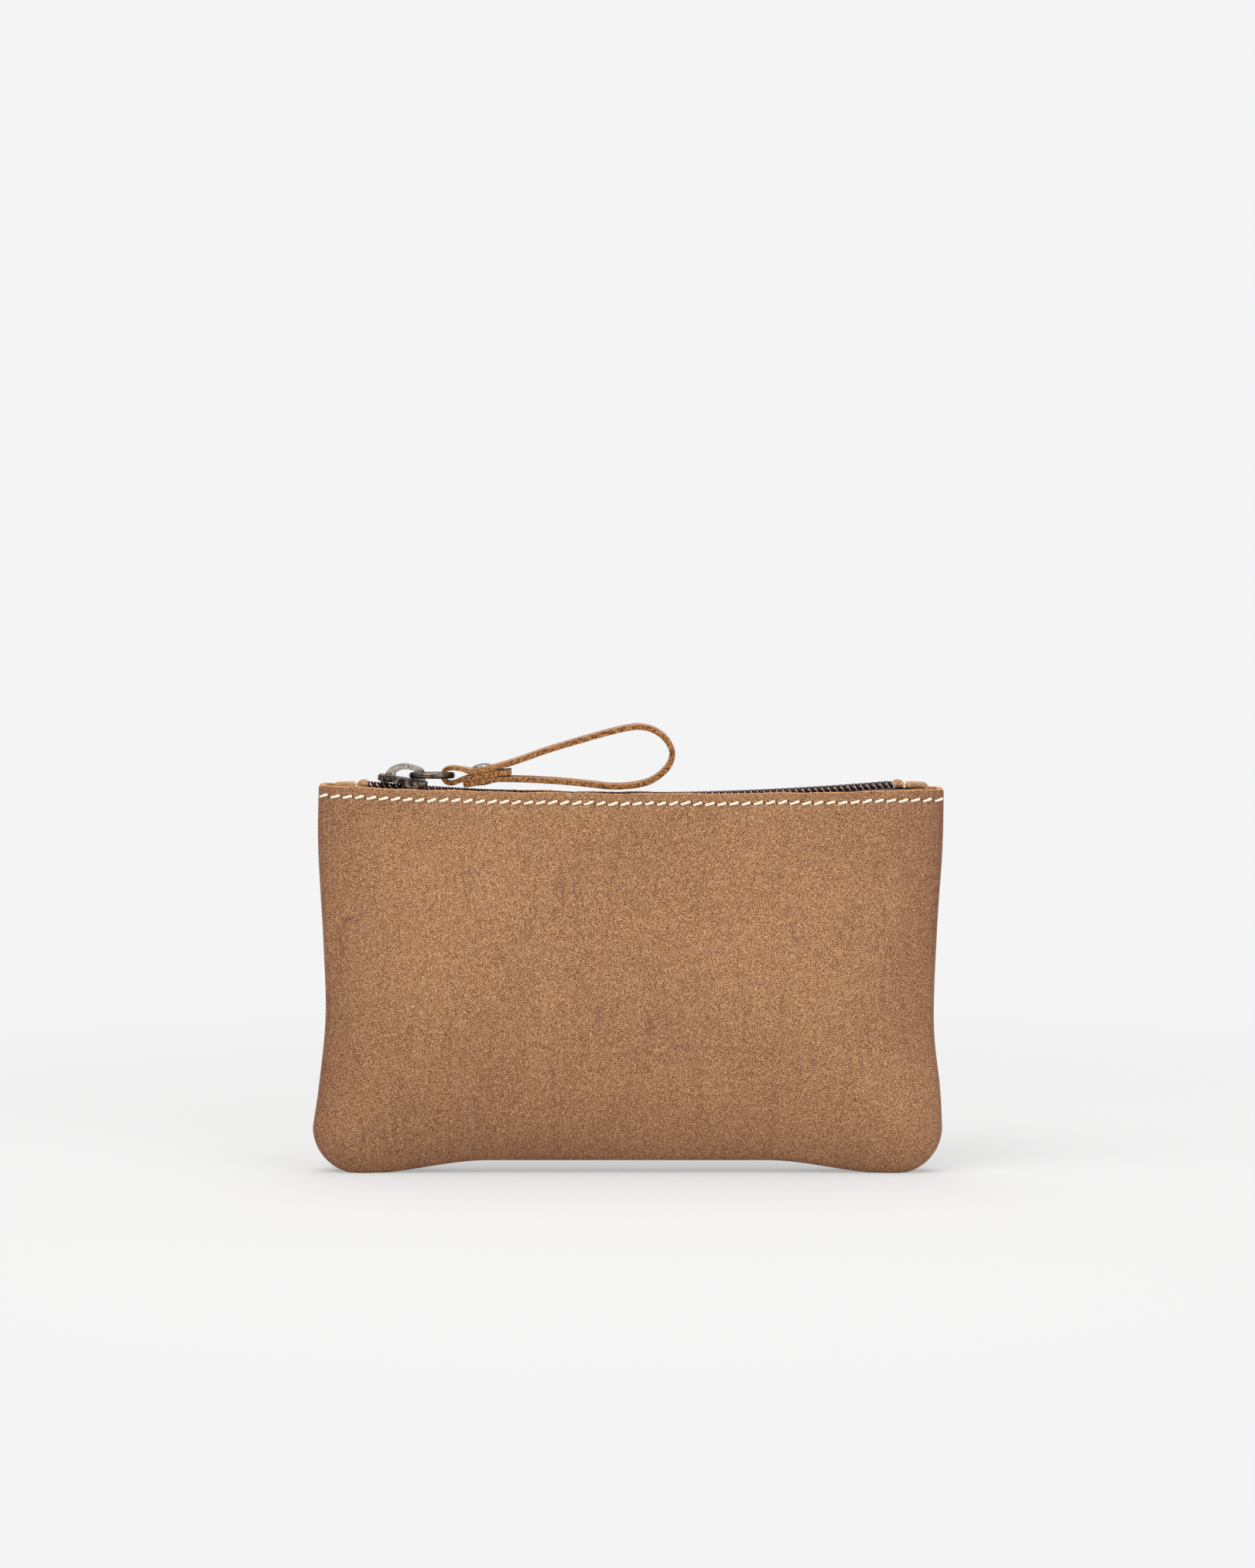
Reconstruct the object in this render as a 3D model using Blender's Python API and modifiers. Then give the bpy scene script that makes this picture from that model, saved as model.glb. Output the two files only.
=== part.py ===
"""Zippered leather pouch with a leather loop pull.

Two thick leather panels are sewn face to face along the sides and the bottom and turned right side out.
Their raw top edges are topstitched over a coil zip, whose ends are wrapped in small leather tabs.
The slider runs along the sagging zip and carries a crown, a split ring and a riveted leather strap.

Frame: origin on the ground under the middle of the pouch, X along the zip, Y from front to back, Z up.
Sizes below are in millimetres; MM turns them into metres when a mesh is written.
"""

import math

import bmesh
import bpy
import numpy as np
from mathutils import Matrix, Vector

MM = 0.001

# Panels
LEATHER = 2.0  # panel leather thickness
PANEL_GAP = 0.15  # half of the gap between the two panels in the seam
SEAM_FLAP = 8.0  # seam allowance, turned inwards
CORNER_RADIUS = 15.0  # rounded bottom corners
GROUND_PRESS = 0.4  # how far the bottom rolls are pressed flat on the ground
CORNER_TOP = CORNER_RADIUS - GROUND_PRESS  # height where the corner arcs start
# Side edges as (x, z), from the top edge down to the corner arcs
SIDE_LEFT = [(-97.6, 124.0), (-97.9, 104.0), (-96.4, 74.0), (-95.8, 50.0), (-98.0, 28.0),
             (-100.0, CORNER_TOP)]
SIDE_RIGHT = [(100.0, 124.0), (99.7, 104.0), (98.1, 78.0), (97.2, 48.0), (99.3, 27.0),
              (100.0, CORNER_TOP)]
BOTTOM_ARCH = 4.3  # height of the bottom edge between the two corners
BOTTOM_ARCH_FROM = 84.0  # distance from the middle where the bottom edge leaves the ground
BOTTOM_ARCH_RUN = 40.0  # length over which it rises
LIP_LOW = 121.1  # height of the front panel's raw top edge at the middle
LIP_BOW = 1.9  # how much higher that edge is at the sides
LIP_TILT = 0.6  # extra height at the left side, missing at the right side
BACK_LIP_DROP = 0.7  # the back panel's top edge sits lower at the middle
ROLL_DEPTH = 5.6  # half depth just inside the seam roll
LIP_DEPTH = 8.0  # half depth at the middle of the top edge
SHOULDER_RUN = 7.0  # how far in from the seam roll the shoulder is reached
BELLY = 7.0  # extra half depth at the fullest height
BELLY_HEIGHT = 48.0  # the pouch is full up to here and tapers above it
BELLY_TOP = LIP_LOW + 4.0  # height where the taper would end
BELLY_RUN = 28.0  # how far in from the seam roll the belly grows
BELLY_POWER = 1.3
FLAP_SHORT = 2.2  # the allowance is trimmed short beside the end tabs
FLAP_TRIM_HEIGHT = 113.0
COLUMNS = 22  # faces across a panel
ROWS = 12  # faces down a panel
CROWDING = 0.65  # how much the panel's columns crowd towards the sides
CORNER_CROWDING = 1.7  # how much its rows crowd towards the bottom corners
# Section of the turned seam: distance in from the silhouette, and distance from the middle plane
SEAM_SECTION = [
    (SEAM_FLAP, PANEL_GAP), (1.7, PANEL_GAP), (0.35, 1.2), (0.0, 2.4), (0.05, 3.6), (0.4, 4.6), (1.2, 5.2),
    (2.4, ROLL_DEPTH),
]

# Zip: the top of the coils follows an arc, lowest at the middle
ZIP_LOW = 120.9
ZIP_RADIUS = 950.0
ZIP_LEVEL_FROM = 82.0
ZIP_LEFT = -82.2
ZIP_RIGHT = 84.2
COIL_HEIGHT = 1.9
COIL_INNER = 0.8  # the slider's post passes between the two coils
COIL_OUTER = 3.0
TAPE = 0.6  # tape thickness
TAPE_DROP = COIL_HEIGHT + 0.3 + TAPE / 2  # coil top to the tape's middle
TAPE_END = 90.6
TAPE_SKIRT = 10.0
ZIP_STATIONS = 25
GAP = 0.3  # clearance between pieces that lie on each other

# End tabs
TAB_LEATHER = 1.7
TAB_GAP = 1.2
TAB_LENGTH = 11.0
TAB_HALF_WIDTH = 3.7
TAB_TAPER = 1.6  # how much narrower it is at its fold
TAB_START = 0.3  # gap between the coils and a tab
TAB_STITCH = 3.1  # distance of its stitch from its open side

# Slider, in its own frame: u along the zip, v across it, w up from the top of the coils
SLIDER_X = -71.25
SLIDER_HALF_LENGTH = 7.85
SLIDER_BLANK = 8.0  # half height of the block that its side outline is cut from
SLIDER_OUTLINE = [(-7.85, 2.0), (-7.3, 3.9), (-5.8, 4.9), (-3.6, 5.0), (0.6, 4.65), (7.2, 4.65), (7.85, 4.0)]
SLIDER_SIDE = [(-7.85, -4.0), (-6.8, -4.5), (7.1, -4.5), (7.85, -4.0), (7.85, 1.0), (7.2, 1.27), (1.2, 1.82),
               (-7.36, 2.6), (-7.85, 2.3)]
CHANNEL_HALF = 3.35
CHANNEL_TOP = 0.3
CHANNEL_FLOOR = -3.15
FLANGE_BOTTOM = -1.85
FLANGE_START = 0.6
NOSE_LIFT = 0.95
FOOT_HALF = 4.1  # half width of the lower plate
POST_HALF = 0.5
POST_FROM, POST_TO = -7.0, -4.4

# Crown: the arch that holds the ring, outer edge then inner edge, left foot to right foot and back
CROWN_OUTER = [(-5.6, 2.75), (-5.35, 3.5), (-4.7, 4.49), (-2.69, 5.84), (0.26, 6.57), (3.5, 6.21),
               (5.66, 5.47), (6.74, 4.35), (7.05, 3.0), (7.1, 1.6)]
CROWN_INNER = [(4.45, 1.85), (4.32, 3.0), (4.1, 3.95), (3.11, 4.68), (0.89, 4.91), (-1.48, 4.33),
               (-2.22, 3.47), (-2.35, 2.45)]
CROWN_HALF_WIDTH = 2.0

# Ring, lying to the right of the crown and almost level
RING_RADIUS = 6.25
RING_WIRE = 1.05
RING_HINGE = (-68.16, 126.37)
RING_TILT = math.radians(3.5)

# Pull strap: middle line of the folded strip, from its hidden tail round the ring and the loop to its end
STRAP = 1.7
STRAP_HALF_WIDTH = 4.2
STRAP_NECK_HALF_WIDTH = 2.4
STRAP_PATH = [
    (-36.8, 127.6), (-41.0, 127.2), (-45.3, 126.53), (-49.3, 125.75), (-52.2, 125.1), (-55.3, 124.0),
    (-57.5, 124.5), (-58.4, 126.4), (-57.5, 128.2), (-55.3, 128.78), (-52.2, 128.4), (-49.3, 127.75),
    (-45.3, 128.38), (-41.0, 129.25), (-36.8, 130.5), (-32.0, 132.1), (-26.0, 134.25), (-16.0, 137.3),
    (-6.4, 140.0), (-1.0, 141.3), (3.5, 141.85), (8.1, 140.9), (11.9, 138.2), (14.0, 134.5), (13.9, 131.5),
    (12.6, 128.9), (10.3, 126.6), (7.0, 124.6), (3.0, 123.5), (-1.5, 123.0), (-6.1, 123.0), (-11.3, 123.6),
    (-21.0, 124.55), (-30.0, 125.1), (-36.8, 125.3), (-41.0, 125.3), (-45.3, 124.68), (-49.3, 123.9),
    (-51.9, 123.4),
]
STRAP_NECK = (-53.0, -49.5)  # narrow up to the first x, full width from the second

# Rivet through the three layers of the strap
RIVET_X = -45.3
RIVET_HOLE = 1.3
RIVET_SHANK = 0.95
RIVET_HEAD = 2.9
RIVET_SLOPE = math.radians(9.5)
RIVET_BOTTOM_Z = 123.83  # underside of the lowest layer on the rivet's axis
RIVET_STACK = 5.4  # three layers with their gaps
RIVET_GAP = 0.15  # clearance between a cap and the leather

# Threads
THREAD = 0.35  # radius
THREAD_GAP = 0.22  # clearance under a thread
TOPSTITCH_DROP = 3.1  # how far below the raw edge it runs
TOPSTITCH_FROM, TOPSTITCH_TO = -93.5, 95.5
TOPSTITCH_POINTS = 36
SEAM_LINE = 3.3  # how far inside the silhouette the closing seam runs
SEAM_TOP = 114.0
TURNED_SIDES = 24


def fresh_collection(name):
    """Empties the scene and returns the collections for the pouch and for its cutters."""
    for obj in list(bpy.data.objects):
        bpy.data.objects.remove(obj, do_unlink=True)
    parts = bpy.data.collections.new(name)
    cutters = bpy.data.collections.new(name + "_cutters")
    for collection in (parts, cutters):
        bpy.context.scene.collection.children.link(collection)
    return parts, cutters


PARTS, CUTTERS = fresh_collection("zippered_pouch")


def material(name, color, roughness, metallic=0.0):
    """A plain Principled material."""
    made = bpy.data.materials.new(name)
    made.use_nodes = True
    shader = made.node_tree.nodes["Principled BSDF"]
    shader.inputs["Base Color"].default_value = (*color, 1.0)
    shader.inputs["Roughness"].default_value = roughness
    shader.inputs["Metallic"].default_value = metallic
    return made


PANEL_LEATHER = material("panel_leather", (0.37, 0.19, 0.09), 0.6)
STRAP_LEATHER = material("strap_leather", (0.36, 0.18, 0.07), 0.7)
ZIP_TAPE = material("zip_tape", (0.06, 0.035, 0.03), 0.9)
ZIP_COIL = material("zip_coil", (0.03, 0.02, 0.018), 0.45)
SLIDER_METAL = material("slider_metal", (0.42, 0.39, 0.34), 0.35, 1.0)
RING_METAL = material("ring_metal", (0.2, 0.18, 0.16), 0.35, 1.0)
RIVET_METAL = material("rivet_metal", (0.3, 0.28, 0.27), 0.35, 1.0)
THREAD_CREAM = material("thread_cream", (0.85, 0.79, 0.66), 0.8)


def add_object(name, data, skin, collection=PARTS):
    """Links a new object with its material."""
    obj = bpy.data.objects.new(name, data)
    collection.objects.link(obj)
    if skin:
        data.materials.append(skin)
    return obj


def smooth_path(points, per_span):
    """Points on a Catmull-Rom curve through the given points, per_span steps between neighbours."""
    route = [np.array(p, dtype=float) for p in points]
    route = [2 * route[0] - route[1], *route, 2 * route[-1] - route[-2]]
    out = []
    for a, b, c, d in zip(route, route[1:], route[2:], route[3:]):
        for step in range(per_span):
            t = step / per_span
            out.append(0.5 * (2 * b + (c - a) * t + (2 * a - 5 * b + 4 * c - d) * t**2
                              + (3 * b - a - 3 * c + d) * t**3))
    out.append(route[-2])
    return np.array(out)


def spaced_path(points, fractions):
    """A polyline resampled at fractions of its length."""
    points = np.asarray(points, dtype=float)
    steps = np.linalg.norm(np.diff(points, axis=0), axis=1)
    along = np.concatenate([[0.0], np.cumsum(steps)])
    targets = np.asarray(fractions) * along[-1]
    return np.column_stack([np.interp(targets, along, points[:, k]) for k in range(points.shape[1])])


def crowded(count):
    """Fractions from 0 to 1 that crowd towards both ends."""
    t = np.linspace(0.0, 1.0, count + 1)
    return (1 - CROWDING) * t + CROWDING * (0.5 - 0.5 * np.cos(math.pi * t))


def corner_crowded(t):
    """Fractions from 0 to 1 that crowd towards the bottom corners."""
    return 1 - (1 - t) ** CORNER_CROWDING


def normals_2d(points):
    """Unit normals to the left of a polyline in a plane."""
    run = np.gradient(points, axis=0)
    run /= np.linalg.norm(run, axis=1)[:, None]
    return np.column_stack([-run[:, 1], run[:, 0]])


def smoothstep(t):
    t = min(max(t, 0.0), 1.0)
    return t * t * (3 - 2 * t)


def sheet_object(name, rows, skin, thickness, offset):
    """An open sheet through rows of points in millimetres, thickened with Solidify."""
    mesh = bpy.data.meshes.new(name)
    grid = bmesh.new()
    verts = [[grid.verts.new(Vector(p) * MM) for p in row] for row in rows]
    for low, high in zip(verts, verts[1:]):
        for a, b, c, d in zip(low, low[1:], high[1:], high):
            grid.faces.new((a, b, c, d))
    grid.to_mesh(mesh)
    grid.free()
    mesh.shade_smooth()
    obj = add_object(name, mesh, skin)
    thicken(obj, thickness, offset)
    return obj


def thicken(obj, thickness, offset):
    solid = obj.modifiers.new("thickness", "SOLIDIFY")
    solid.thickness = thickness * MM
    solid.offset = offset
    solid.use_even_offset = False


def outline_mesh(name, outline, half_thickness, plane):
    """A closed mesh from a flat outline: plane "XZ" stands it up along Y, plane "XY" lays it down along Z."""
    curve = bpy.data.curves.new(name, "CURVE")
    curve.dimensions = "2D"
    curve.fill_mode = "BOTH"
    curve.extrude = half_thickness * MM
    spline = curve.splines.new("POLY")
    spline.points.add(len(outline) - 1)
    for point, (x, y) in zip(spline.points, outline):
        point.co = (x * MM, y * MM, 0.0, 1.0)
    spline.use_cyclic_u = True
    guide = bpy.data.objects.new(name + "_guide", curve)
    PARTS.objects.link(guide)
    bpy.context.view_layer.update()
    mesh = bpy.data.meshes.new_from_object(guide.evaluated_get(bpy.context.evaluated_depsgraph_get()))
    bpy.data.objects.remove(guide, do_unlink=True)
    work = bmesh.new()
    work.from_mesh(mesh)
    bmesh.ops.remove_doubles(work, verts=work.verts, dist=1e-6)
    if plane == "XZ":
        bmesh.ops.transform(work, matrix=Matrix.Rotation(math.pi / 2, 4, "X"), verts=work.verts)
    bmesh.ops.recalc_face_normals(work, faces=work.faces)
    work.to_mesh(mesh)
    work.free()
    mesh.name = name
    mesh.set_sharp_from_angle(angle=math.radians(35))
    return mesh


def box_mesh(name, low, high):
    """A box between two corners in millimetres."""
    mesh = bpy.data.meshes.new(name)
    work = bmesh.new()
    bmesh.ops.create_cube(work, size=1.0)
    size = [h - l for l, h in zip(low, high)]
    middle = [(h + l) / 2 for l, h in zip(low, high)]
    bmesh.ops.scale(work, vec=Vector(size) * MM, verts=work.verts)
    bmesh.ops.translate(work, vec=Vector(middle) * MM, verts=work.verts)
    work.to_mesh(mesh)
    work.free()
    return mesh


def boolean(obj, mesh, operation, place=None):
    """Cuts, joins or intersects obj with a hidden cutter."""
    cutter = add_object(f"{mesh.name}_cutter", mesh, None, CUTTERS)
    cutter.hide_render = True
    cutter.display_type = "WIRE"
    if place:
        cutter.matrix_world = place
    step = obj.modifiers.new(mesh.name, "BOOLEAN")
    step.object = cutter
    step.operation = operation


def tube_object(name, points, radius, skin):
    """A thread as a closed tube along points in millimetres."""
    curve = bpy.data.curves.new(name, "CURVE")
    curve.dimensions = "3D"
    curve.bevel_depth = radius * MM
    curve.bevel_resolution = 2
    curve.use_fill_caps = True
    spline = curve.splines.new("POLY")
    spline.points.add(len(points) - 1)
    for point, place in zip(spline.points, points):
        point.co = (*(np.asarray(place) * MM), 1.0)
    spline.use_smooth = True
    return add_object(name, curve, skin)


# ---------------------------------------------------------------- panels


def bottom_edge(x):
    """Height of the bottom edge: level and raised between the corners, on the ground at the corners."""
    return BOTTOM_ARCH * smoothstep((BOTTOM_ARCH_FROM - abs(x)) / BOTTOM_ARCH_RUN)


def seam_outline():
    """The pouch's silhouette from the left top corner round the bottom to the right top corner."""
    left = smooth_path(SIDE_LEFT, 6)
    right = smooth_path(SIDE_RIGHT, 6)[::-1]
    quarter = [math.radians(a) for a in (15, 30, 45, 60, 75, 90)]
    corner_left = [(-100.0 + CORNER_RADIUS * (1 - math.cos(a)), CORNER_TOP - CORNER_RADIUS * math.sin(a))
                   for a in quarter]
    corner_right = [(-x, z) for x, z in reversed(corner_left)]
    xs = np.linspace(corner_left[-1][0], corner_right[0][0], 41)[1:-1]
    floor = corner_left[-1][1]
    bottom = [(x, floor + bottom_edge(x)) for x in xs]
    return np.array([*left, *corner_left, *bottom, *corner_right, *right])


OUTLINE = seam_outline()


def lip_height(x, side):
    """Height of a panel's raw top edge; side is -1 for the front and +1 for the back."""
    height = LIP_LOW + LIP_BOW * (x / 100.0) ** 2 - LIP_TILT * x / 100.0
    if side > 0:
        height -= BACK_LIP_DROP * (1 - (x / 100.0) ** 2)
    return height


def edge_distance(x, z):
    """Distance from a point to the seam outline."""
    a = OUTLINE[:-1]
    run = OUTLINE[1:] - a
    point = np.array([x, z])
    t = np.clip(((point - a) * run).sum(1) / (run**2).sum(1), 0.0, 1.0)
    return float(np.linalg.norm(a + run * t[:, None] - point, axis=1).min())


def half_depth(x, z):
    """Distance of the outer leather face from the middle plane, inside the seam roll."""
    d = max(edge_distance(x, z) - SEAM_SECTION[-1][0], 0.0)
    shoulder = ROLL_DEPTH + (LIP_DEPTH - ROLL_DEPTH) * (1 - math.exp(-d / SHOULDER_RUN))
    fullness = smoothstep((BELLY_TOP - z) / (BELLY_TOP - BELLY_HEIGHT))
    return shoulder + BELLY * fullness * (1 - math.exp(-((d / BELLY_RUN) ** BELLY_POWER)))


def panel_edge():
    """The seam outline in steps: down the left side, along the bottom and up the right side."""
    half = len(OUTLINE) // 2
    lowest_left = int(np.argmin(OUTLINE[:half, 1]))
    lowest_right = len(OUTLINE) - 1 - int(np.argmin(OUTLINE[::-1][:half, 1]))
    down = corner_crowded(np.linspace(0.0, 1.0, ROWS + 1))
    left = spaced_path(OUTLINE[:lowest_left + 1], down)
    bottom = spaced_path(OUTLINE[lowest_left:lowest_right + 1], crowded(COLUMNS))
    right = spaced_path(OUTLINE[lowest_right:], 1 - down[::-1])
    return left, bottom, right


def panel(name, side):
    """One leather panel with its seam allowance turned in; side is -1 for the front and +1 for the back."""
    left, bottom, right = panel_edge()
    edge = np.vstack([left, bottom[1:], right[1:]])
    inward = normals_2d(edge)
    for end in (0, -1):
        edge[end, 1] = lip_height(edge[end, 0], side)
        inward[end] = (1.0, 0.0) if end == 0 else (-1.0, 0.0)
    inner = edge + inward * SEAM_SECTION[-1][0]
    inner_left = inner[:ROWS + 1]
    inner_bottom = inner[ROWS:ROWS + COLUMNS + 1]
    inner_right = inner[ROWS + COLUMNS:][::-1]
    top_x = inner[0, 0] + (inner[-1, 0] - inner[0, 0]) * crowded(COLUMNS)
    top = np.array([(x, lip_height(x, side)) for x in top_x])

    grid = bmesh.new()

    def vertex(x, z, depth):
        return grid.verts.new(Vector((x, side * depth, max(z, 0.0))) * MM)

    # Face of the panel: a patch stretched between the four inner edges
    columns = crowded(COLUMNS)
    face = []
    for j in range(ROWS + 1):
        v = corner_crowded(j / ROWS)
        row = []
        for i in range(COLUMNS + 1):
            u = columns[i]
            p = ((1 - u) * inner_left[j] + u * inner_right[j] + (1 - v) * top[i] + v * inner_bottom[i]
                 - (1 - u) * (1 - v) * top[0] - u * (1 - v) * top[-1]
                 - (1 - u) * v * inner_bottom[0] - u * v * inner_bottom[-1])
            on_edge = j == ROWS or i in (0, COLUMNS)
            row.append(vertex(p[0], p[1], ROLL_DEPTH if on_edge else half_depth(p[0], p[1])))
        face.append(row)
    quads = []
    for low, high in zip(face, face[1:]):
        quads += zip(low, low[1:], high[1:], high)

    # Seam roll and allowance: strips that follow the outline
    loop = [row[0] for row in face] + face[-1][1:] + [row[-1] for row in reversed(face[:-1])]
    for inset, depth in reversed(SEAM_SECTION[:-1]):
        strip = []
        for (x, z), (nx, nz) in zip(edge, inward):
            reach = min(inset, FLAP_SHORT) if z > FLAP_TRIM_HEIGHT else inset
            strip.append(vertex(x + nx * reach, z + nz * reach, depth))
        quads += zip(strip, loop, loop[1:], strip[1:])
        loop = strip
    for quad in quads:
        grid.faces.new(quad[::-1] if side < 0 else quad)
    mesh = bpy.data.meshes.new(name)
    grid.to_mesh(mesh)
    grid.free()
    mesh.shade_smooth()
    obj = add_object(name, mesh, PANEL_LEATHER)
    thicken(obj, LEATHER, -1.0)
    return obj


# ---------------------------------------------------------------- zip


def zip_top(x):
    """Height of the top of the coils: an arc that levels out inside the end tabs."""
    return ZIP_LOW + min(abs(x), ZIP_LEVEL_FROM) ** 2 / (2 * ZIP_RADIUS)


def lip_depth(x):
    """Half depth of the pouch at its top edge."""
    return half_depth(x, LIP_LOW)


def tape(name, side):
    """Woven tape: flat under the coil, then down behind the leather edge."""
    rows = []
    for x in np.linspace(-TAPE_END, TAPE_END, ZIP_STATIONS):
        level = zip_top(x) - TAPE_DROP
        wall = lip_depth(x) - LEATHER - GAP - TAPE / 2
        profile = [(1.1, level), (wall - 0.8, level), (wall - 0.2, level - 0.4), (wall, level - 1.2),
                   (wall, level - TAPE_SKIRT)]
        rows.append([(x, side * y, z) for y, z in profile])
    return sheet_object(name, rows, ZIP_TAPE, TAPE, 0.0)


def coil(name, side):
    """Plain bar that stands for the row of coil loops on one tape."""
    mesh = bpy.data.meshes.new(name)
    grid = bmesh.new()
    rings = []
    section = [(COIL_INNER, -COIL_HEIGHT), (COIL_INNER, -0.4), (COIL_INNER + 0.4, 0.0),
               (COIL_OUTER - 0.5, 0.0), (COIL_OUTER, -0.5), (COIL_OUTER, -COIL_HEIGHT)]
    for x in np.linspace(ZIP_LEFT, ZIP_RIGHT, ZIP_STATIONS):
        rings.append([grid.verts.new(Vector((x, side * y, zip_top(x) + z)) * MM) for y, z in section])
    for a, b in zip(rings, rings[1:]):
        for k in range(len(section)):
            n = (k + 1) % len(section)
            grid.faces.new((a[k], a[n], b[n], b[k]))
    grid.faces.new(rings[0])
    grid.faces.new(rings[-1])
    bmesh.ops.recalc_face_normals(grid, faces=grid.faces)
    grid.to_mesh(mesh)
    grid.free()
    mesh.set_sharp_from_angle(angle=math.radians(35))
    return add_object(name, mesh, ZIP_COIL)


def tab_half_width(reach):
    """Half width of an end tab, narrowing towards the side seam."""
    return TAB_HALF_WIDTH - TAB_TAPER * reach / TAB_LENGTH


def end_tab(name, start, direction):
    """Leather strip folded over the zip's end, open towards the coils, with its fold in the side seam."""
    level = zip_top(start) - TAPE_DROP
    outer = TAB_GAP / 2 + TAB_LEATHER
    inner = TAB_GAP / 2
    bend = TAB_LENGTH - outer
    angles = [math.radians(a) for a in (60, 30, 0, -30, -60)]
    profile = [(0.0, inner), (0.0, outer + 0.15), (0.6, outer + 0.35), (1.8, outer + 0.3),
               (2.9, outer - 0.05), (bend, outer)]
    profile += [(bend + outer * math.cos(a), outer * math.sin(a)) for a in angles]
    profile += [(bend, -outer), (0.0, -outer), (0.0, -inner), (bend, -inner)]
    profile += [(bend + inner * math.cos(a), inner * math.sin(a)) for a in reversed(angles)]
    profile += [(bend, inner)]
    grid = bmesh.new()
    sides = []
    for side in (-1, 1):
        ring = [grid.verts.new(Vector((start + direction * u, side * tab_half_width(u), level + w)) * MM)
                for u, w in profile]
        sides.append(ring)
        grid.faces.new(ring)
    front, back = sides
    for k in range(len(profile)):
        n = (k + 1) % len(profile)
        grid.faces.new((front[k], front[n], back[n], back[k]))
    bmesh.ops.recalc_face_normals(grid, faces=grid.faces)
    mesh = bpy.data.meshes.new(name)
    grid.to_mesh(mesh)
    grid.free()
    mesh.set_sharp_from_angle(angle=math.radians(35))
    return add_object(name, mesh, PANEL_LEATHER)


# ---------------------------------------------------------------- slider, ring and strap


def slider_frame():
    """Places the slider's own frame on the arc of the zip."""
    turn = Matrix.Rotation(math.atan(-SLIDER_X / ZIP_RADIUS), 4, "Y")
    return Matrix.Translation(Vector((SLIDER_X, 0.0, zip_top(SLIDER_X))) * MM) @ turn


def slider_body():
    """Slider casting: two plates joined by a post, with flanges round the closed coils."""
    outline = SLIDER_OUTLINE + [(u, -v) for u, v in reversed(SLIDER_OUTLINE)]
    body = add_object("slider_body", outline_mesh("slider_plan", outline, SLIDER_BLANK, "XY"), SLIDER_METAL)
    place = slider_frame()
    body.matrix_world = place
    wide, long = 8.0, 12.0  # the cutters reach past the casting
    boolean(body, outline_mesh("slider_side", SLIDER_SIDE, wide, "XZ"), "INTERSECT", place)
    nose = [(-long, CHANNEL_FLOOR), (FLANGE_START, CHANNEL_FLOOR), (FLANGE_START, CHANNEL_TOP),
            (-SLIDER_HALF_LENGTH, NOSE_LIFT), (-long, NOSE_LIFT)]
    boolean(body, outline_mesh("slider_nose_gap", nose, wide, "XZ"), "DIFFERENCE", place)
    channel = box_mesh("slider_channel", (-long, -CHANNEL_HALF, CHANNEL_FLOOR),
                       (long, CHANNEL_HALF, CHANNEL_TOP))
    boolean(body, channel, "DIFFERENCE", place)
    slots = box_mesh("slider_tape_slots", (-long, -wide, CHANNEL_FLOOR), (long, wide, FLANGE_BOTTOM))
    boolean(body, slots, "DIFFERENCE", place)
    for word, side in (("near", -1), ("far", 1)):
        low, high = sorted((side * wide, side * FOOT_HALF))
        trim = box_mesh(f"slider_foot_{word}", (-long, low, -wide), (long, high, FLANGE_BOTTOM))
        boolean(body, trim, "DIFFERENCE", place)
    post = box_mesh("slider_post", (POST_FROM, -POST_HALF, CHANNEL_FLOOR - 0.5), (POST_TO, POST_HALF, 1.4))
    boolean(body, post, "UNION", place)
    return body


def slider_crown():
    """Arch over the slider that the ring hangs in."""
    outer = smooth_path(CROWN_OUTER[1:-1], 2)
    inner = smooth_path(CROWN_INNER[1:-1], 2)
    outline = [CROWN_OUTER[0], *outer, CROWN_OUTER[-1], CROWN_INNER[0], *inner, CROWN_INNER[-1]]
    mesh = outline_mesh("slider_crown", outline, CROWN_HALF_WIDTH, "XZ")
    crown = add_object("slider_crown", mesh, SLIDER_METAL)
    crown.matrix_world = slider_frame()
    return crown


def pull_ring():
    """Round wire ring; its empty stands on the hinge axis in the crown."""
    hinge = bpy.data.objects.new("ring_hinge", None)
    PARTS.objects.link(hinge)
    hinge.location = Vector((RING_HINGE[0], 0.0, RING_HINGE[1])) * MM
    bpy.ops.mesh.primitive_torus_add(major_radius=RING_RADIUS * MM, minor_radius=RING_WIRE * MM,
                                     major_segments=32, minor_segments=10)
    ring = bpy.context.active_object
    ring.name = "pull_ring"
    for collection in list(ring.users_collection):
        collection.objects.unlink(ring)
    PARTS.objects.link(ring)
    ring.data.materials.append(RING_METAL)
    ring.data.shade_smooth()
    ring.parent = hinge
    ring.location = (RING_RADIUS * MM, 0.0, 0.0)
    ring.rotation_euler = (-RING_TILT, 0.0, 0.0)
    return ring


def strap_half_width(x):
    """Half width of the strap, narrow where it passes through the ring."""
    neck_to, wide_from = STRAP_NECK
    widening = smoothstep((x - neck_to) / (wide_from - neck_to))
    return STRAP_NECK_HALF_WIDTH + (STRAP_HALF_WIDTH - STRAP_NECK_HALF_WIDTH) * widening


def rivet_frame():
    """Frame of the rivet: origin under the lowest layer, third axis up through the layers."""
    turn = Matrix.Rotation(-RIVET_SLOPE, 4, "Y")
    return Matrix.Translation(Vector((RIVET_X, 0.0, RIVET_BOTTOM_Z)) * MM) @ turn


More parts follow.
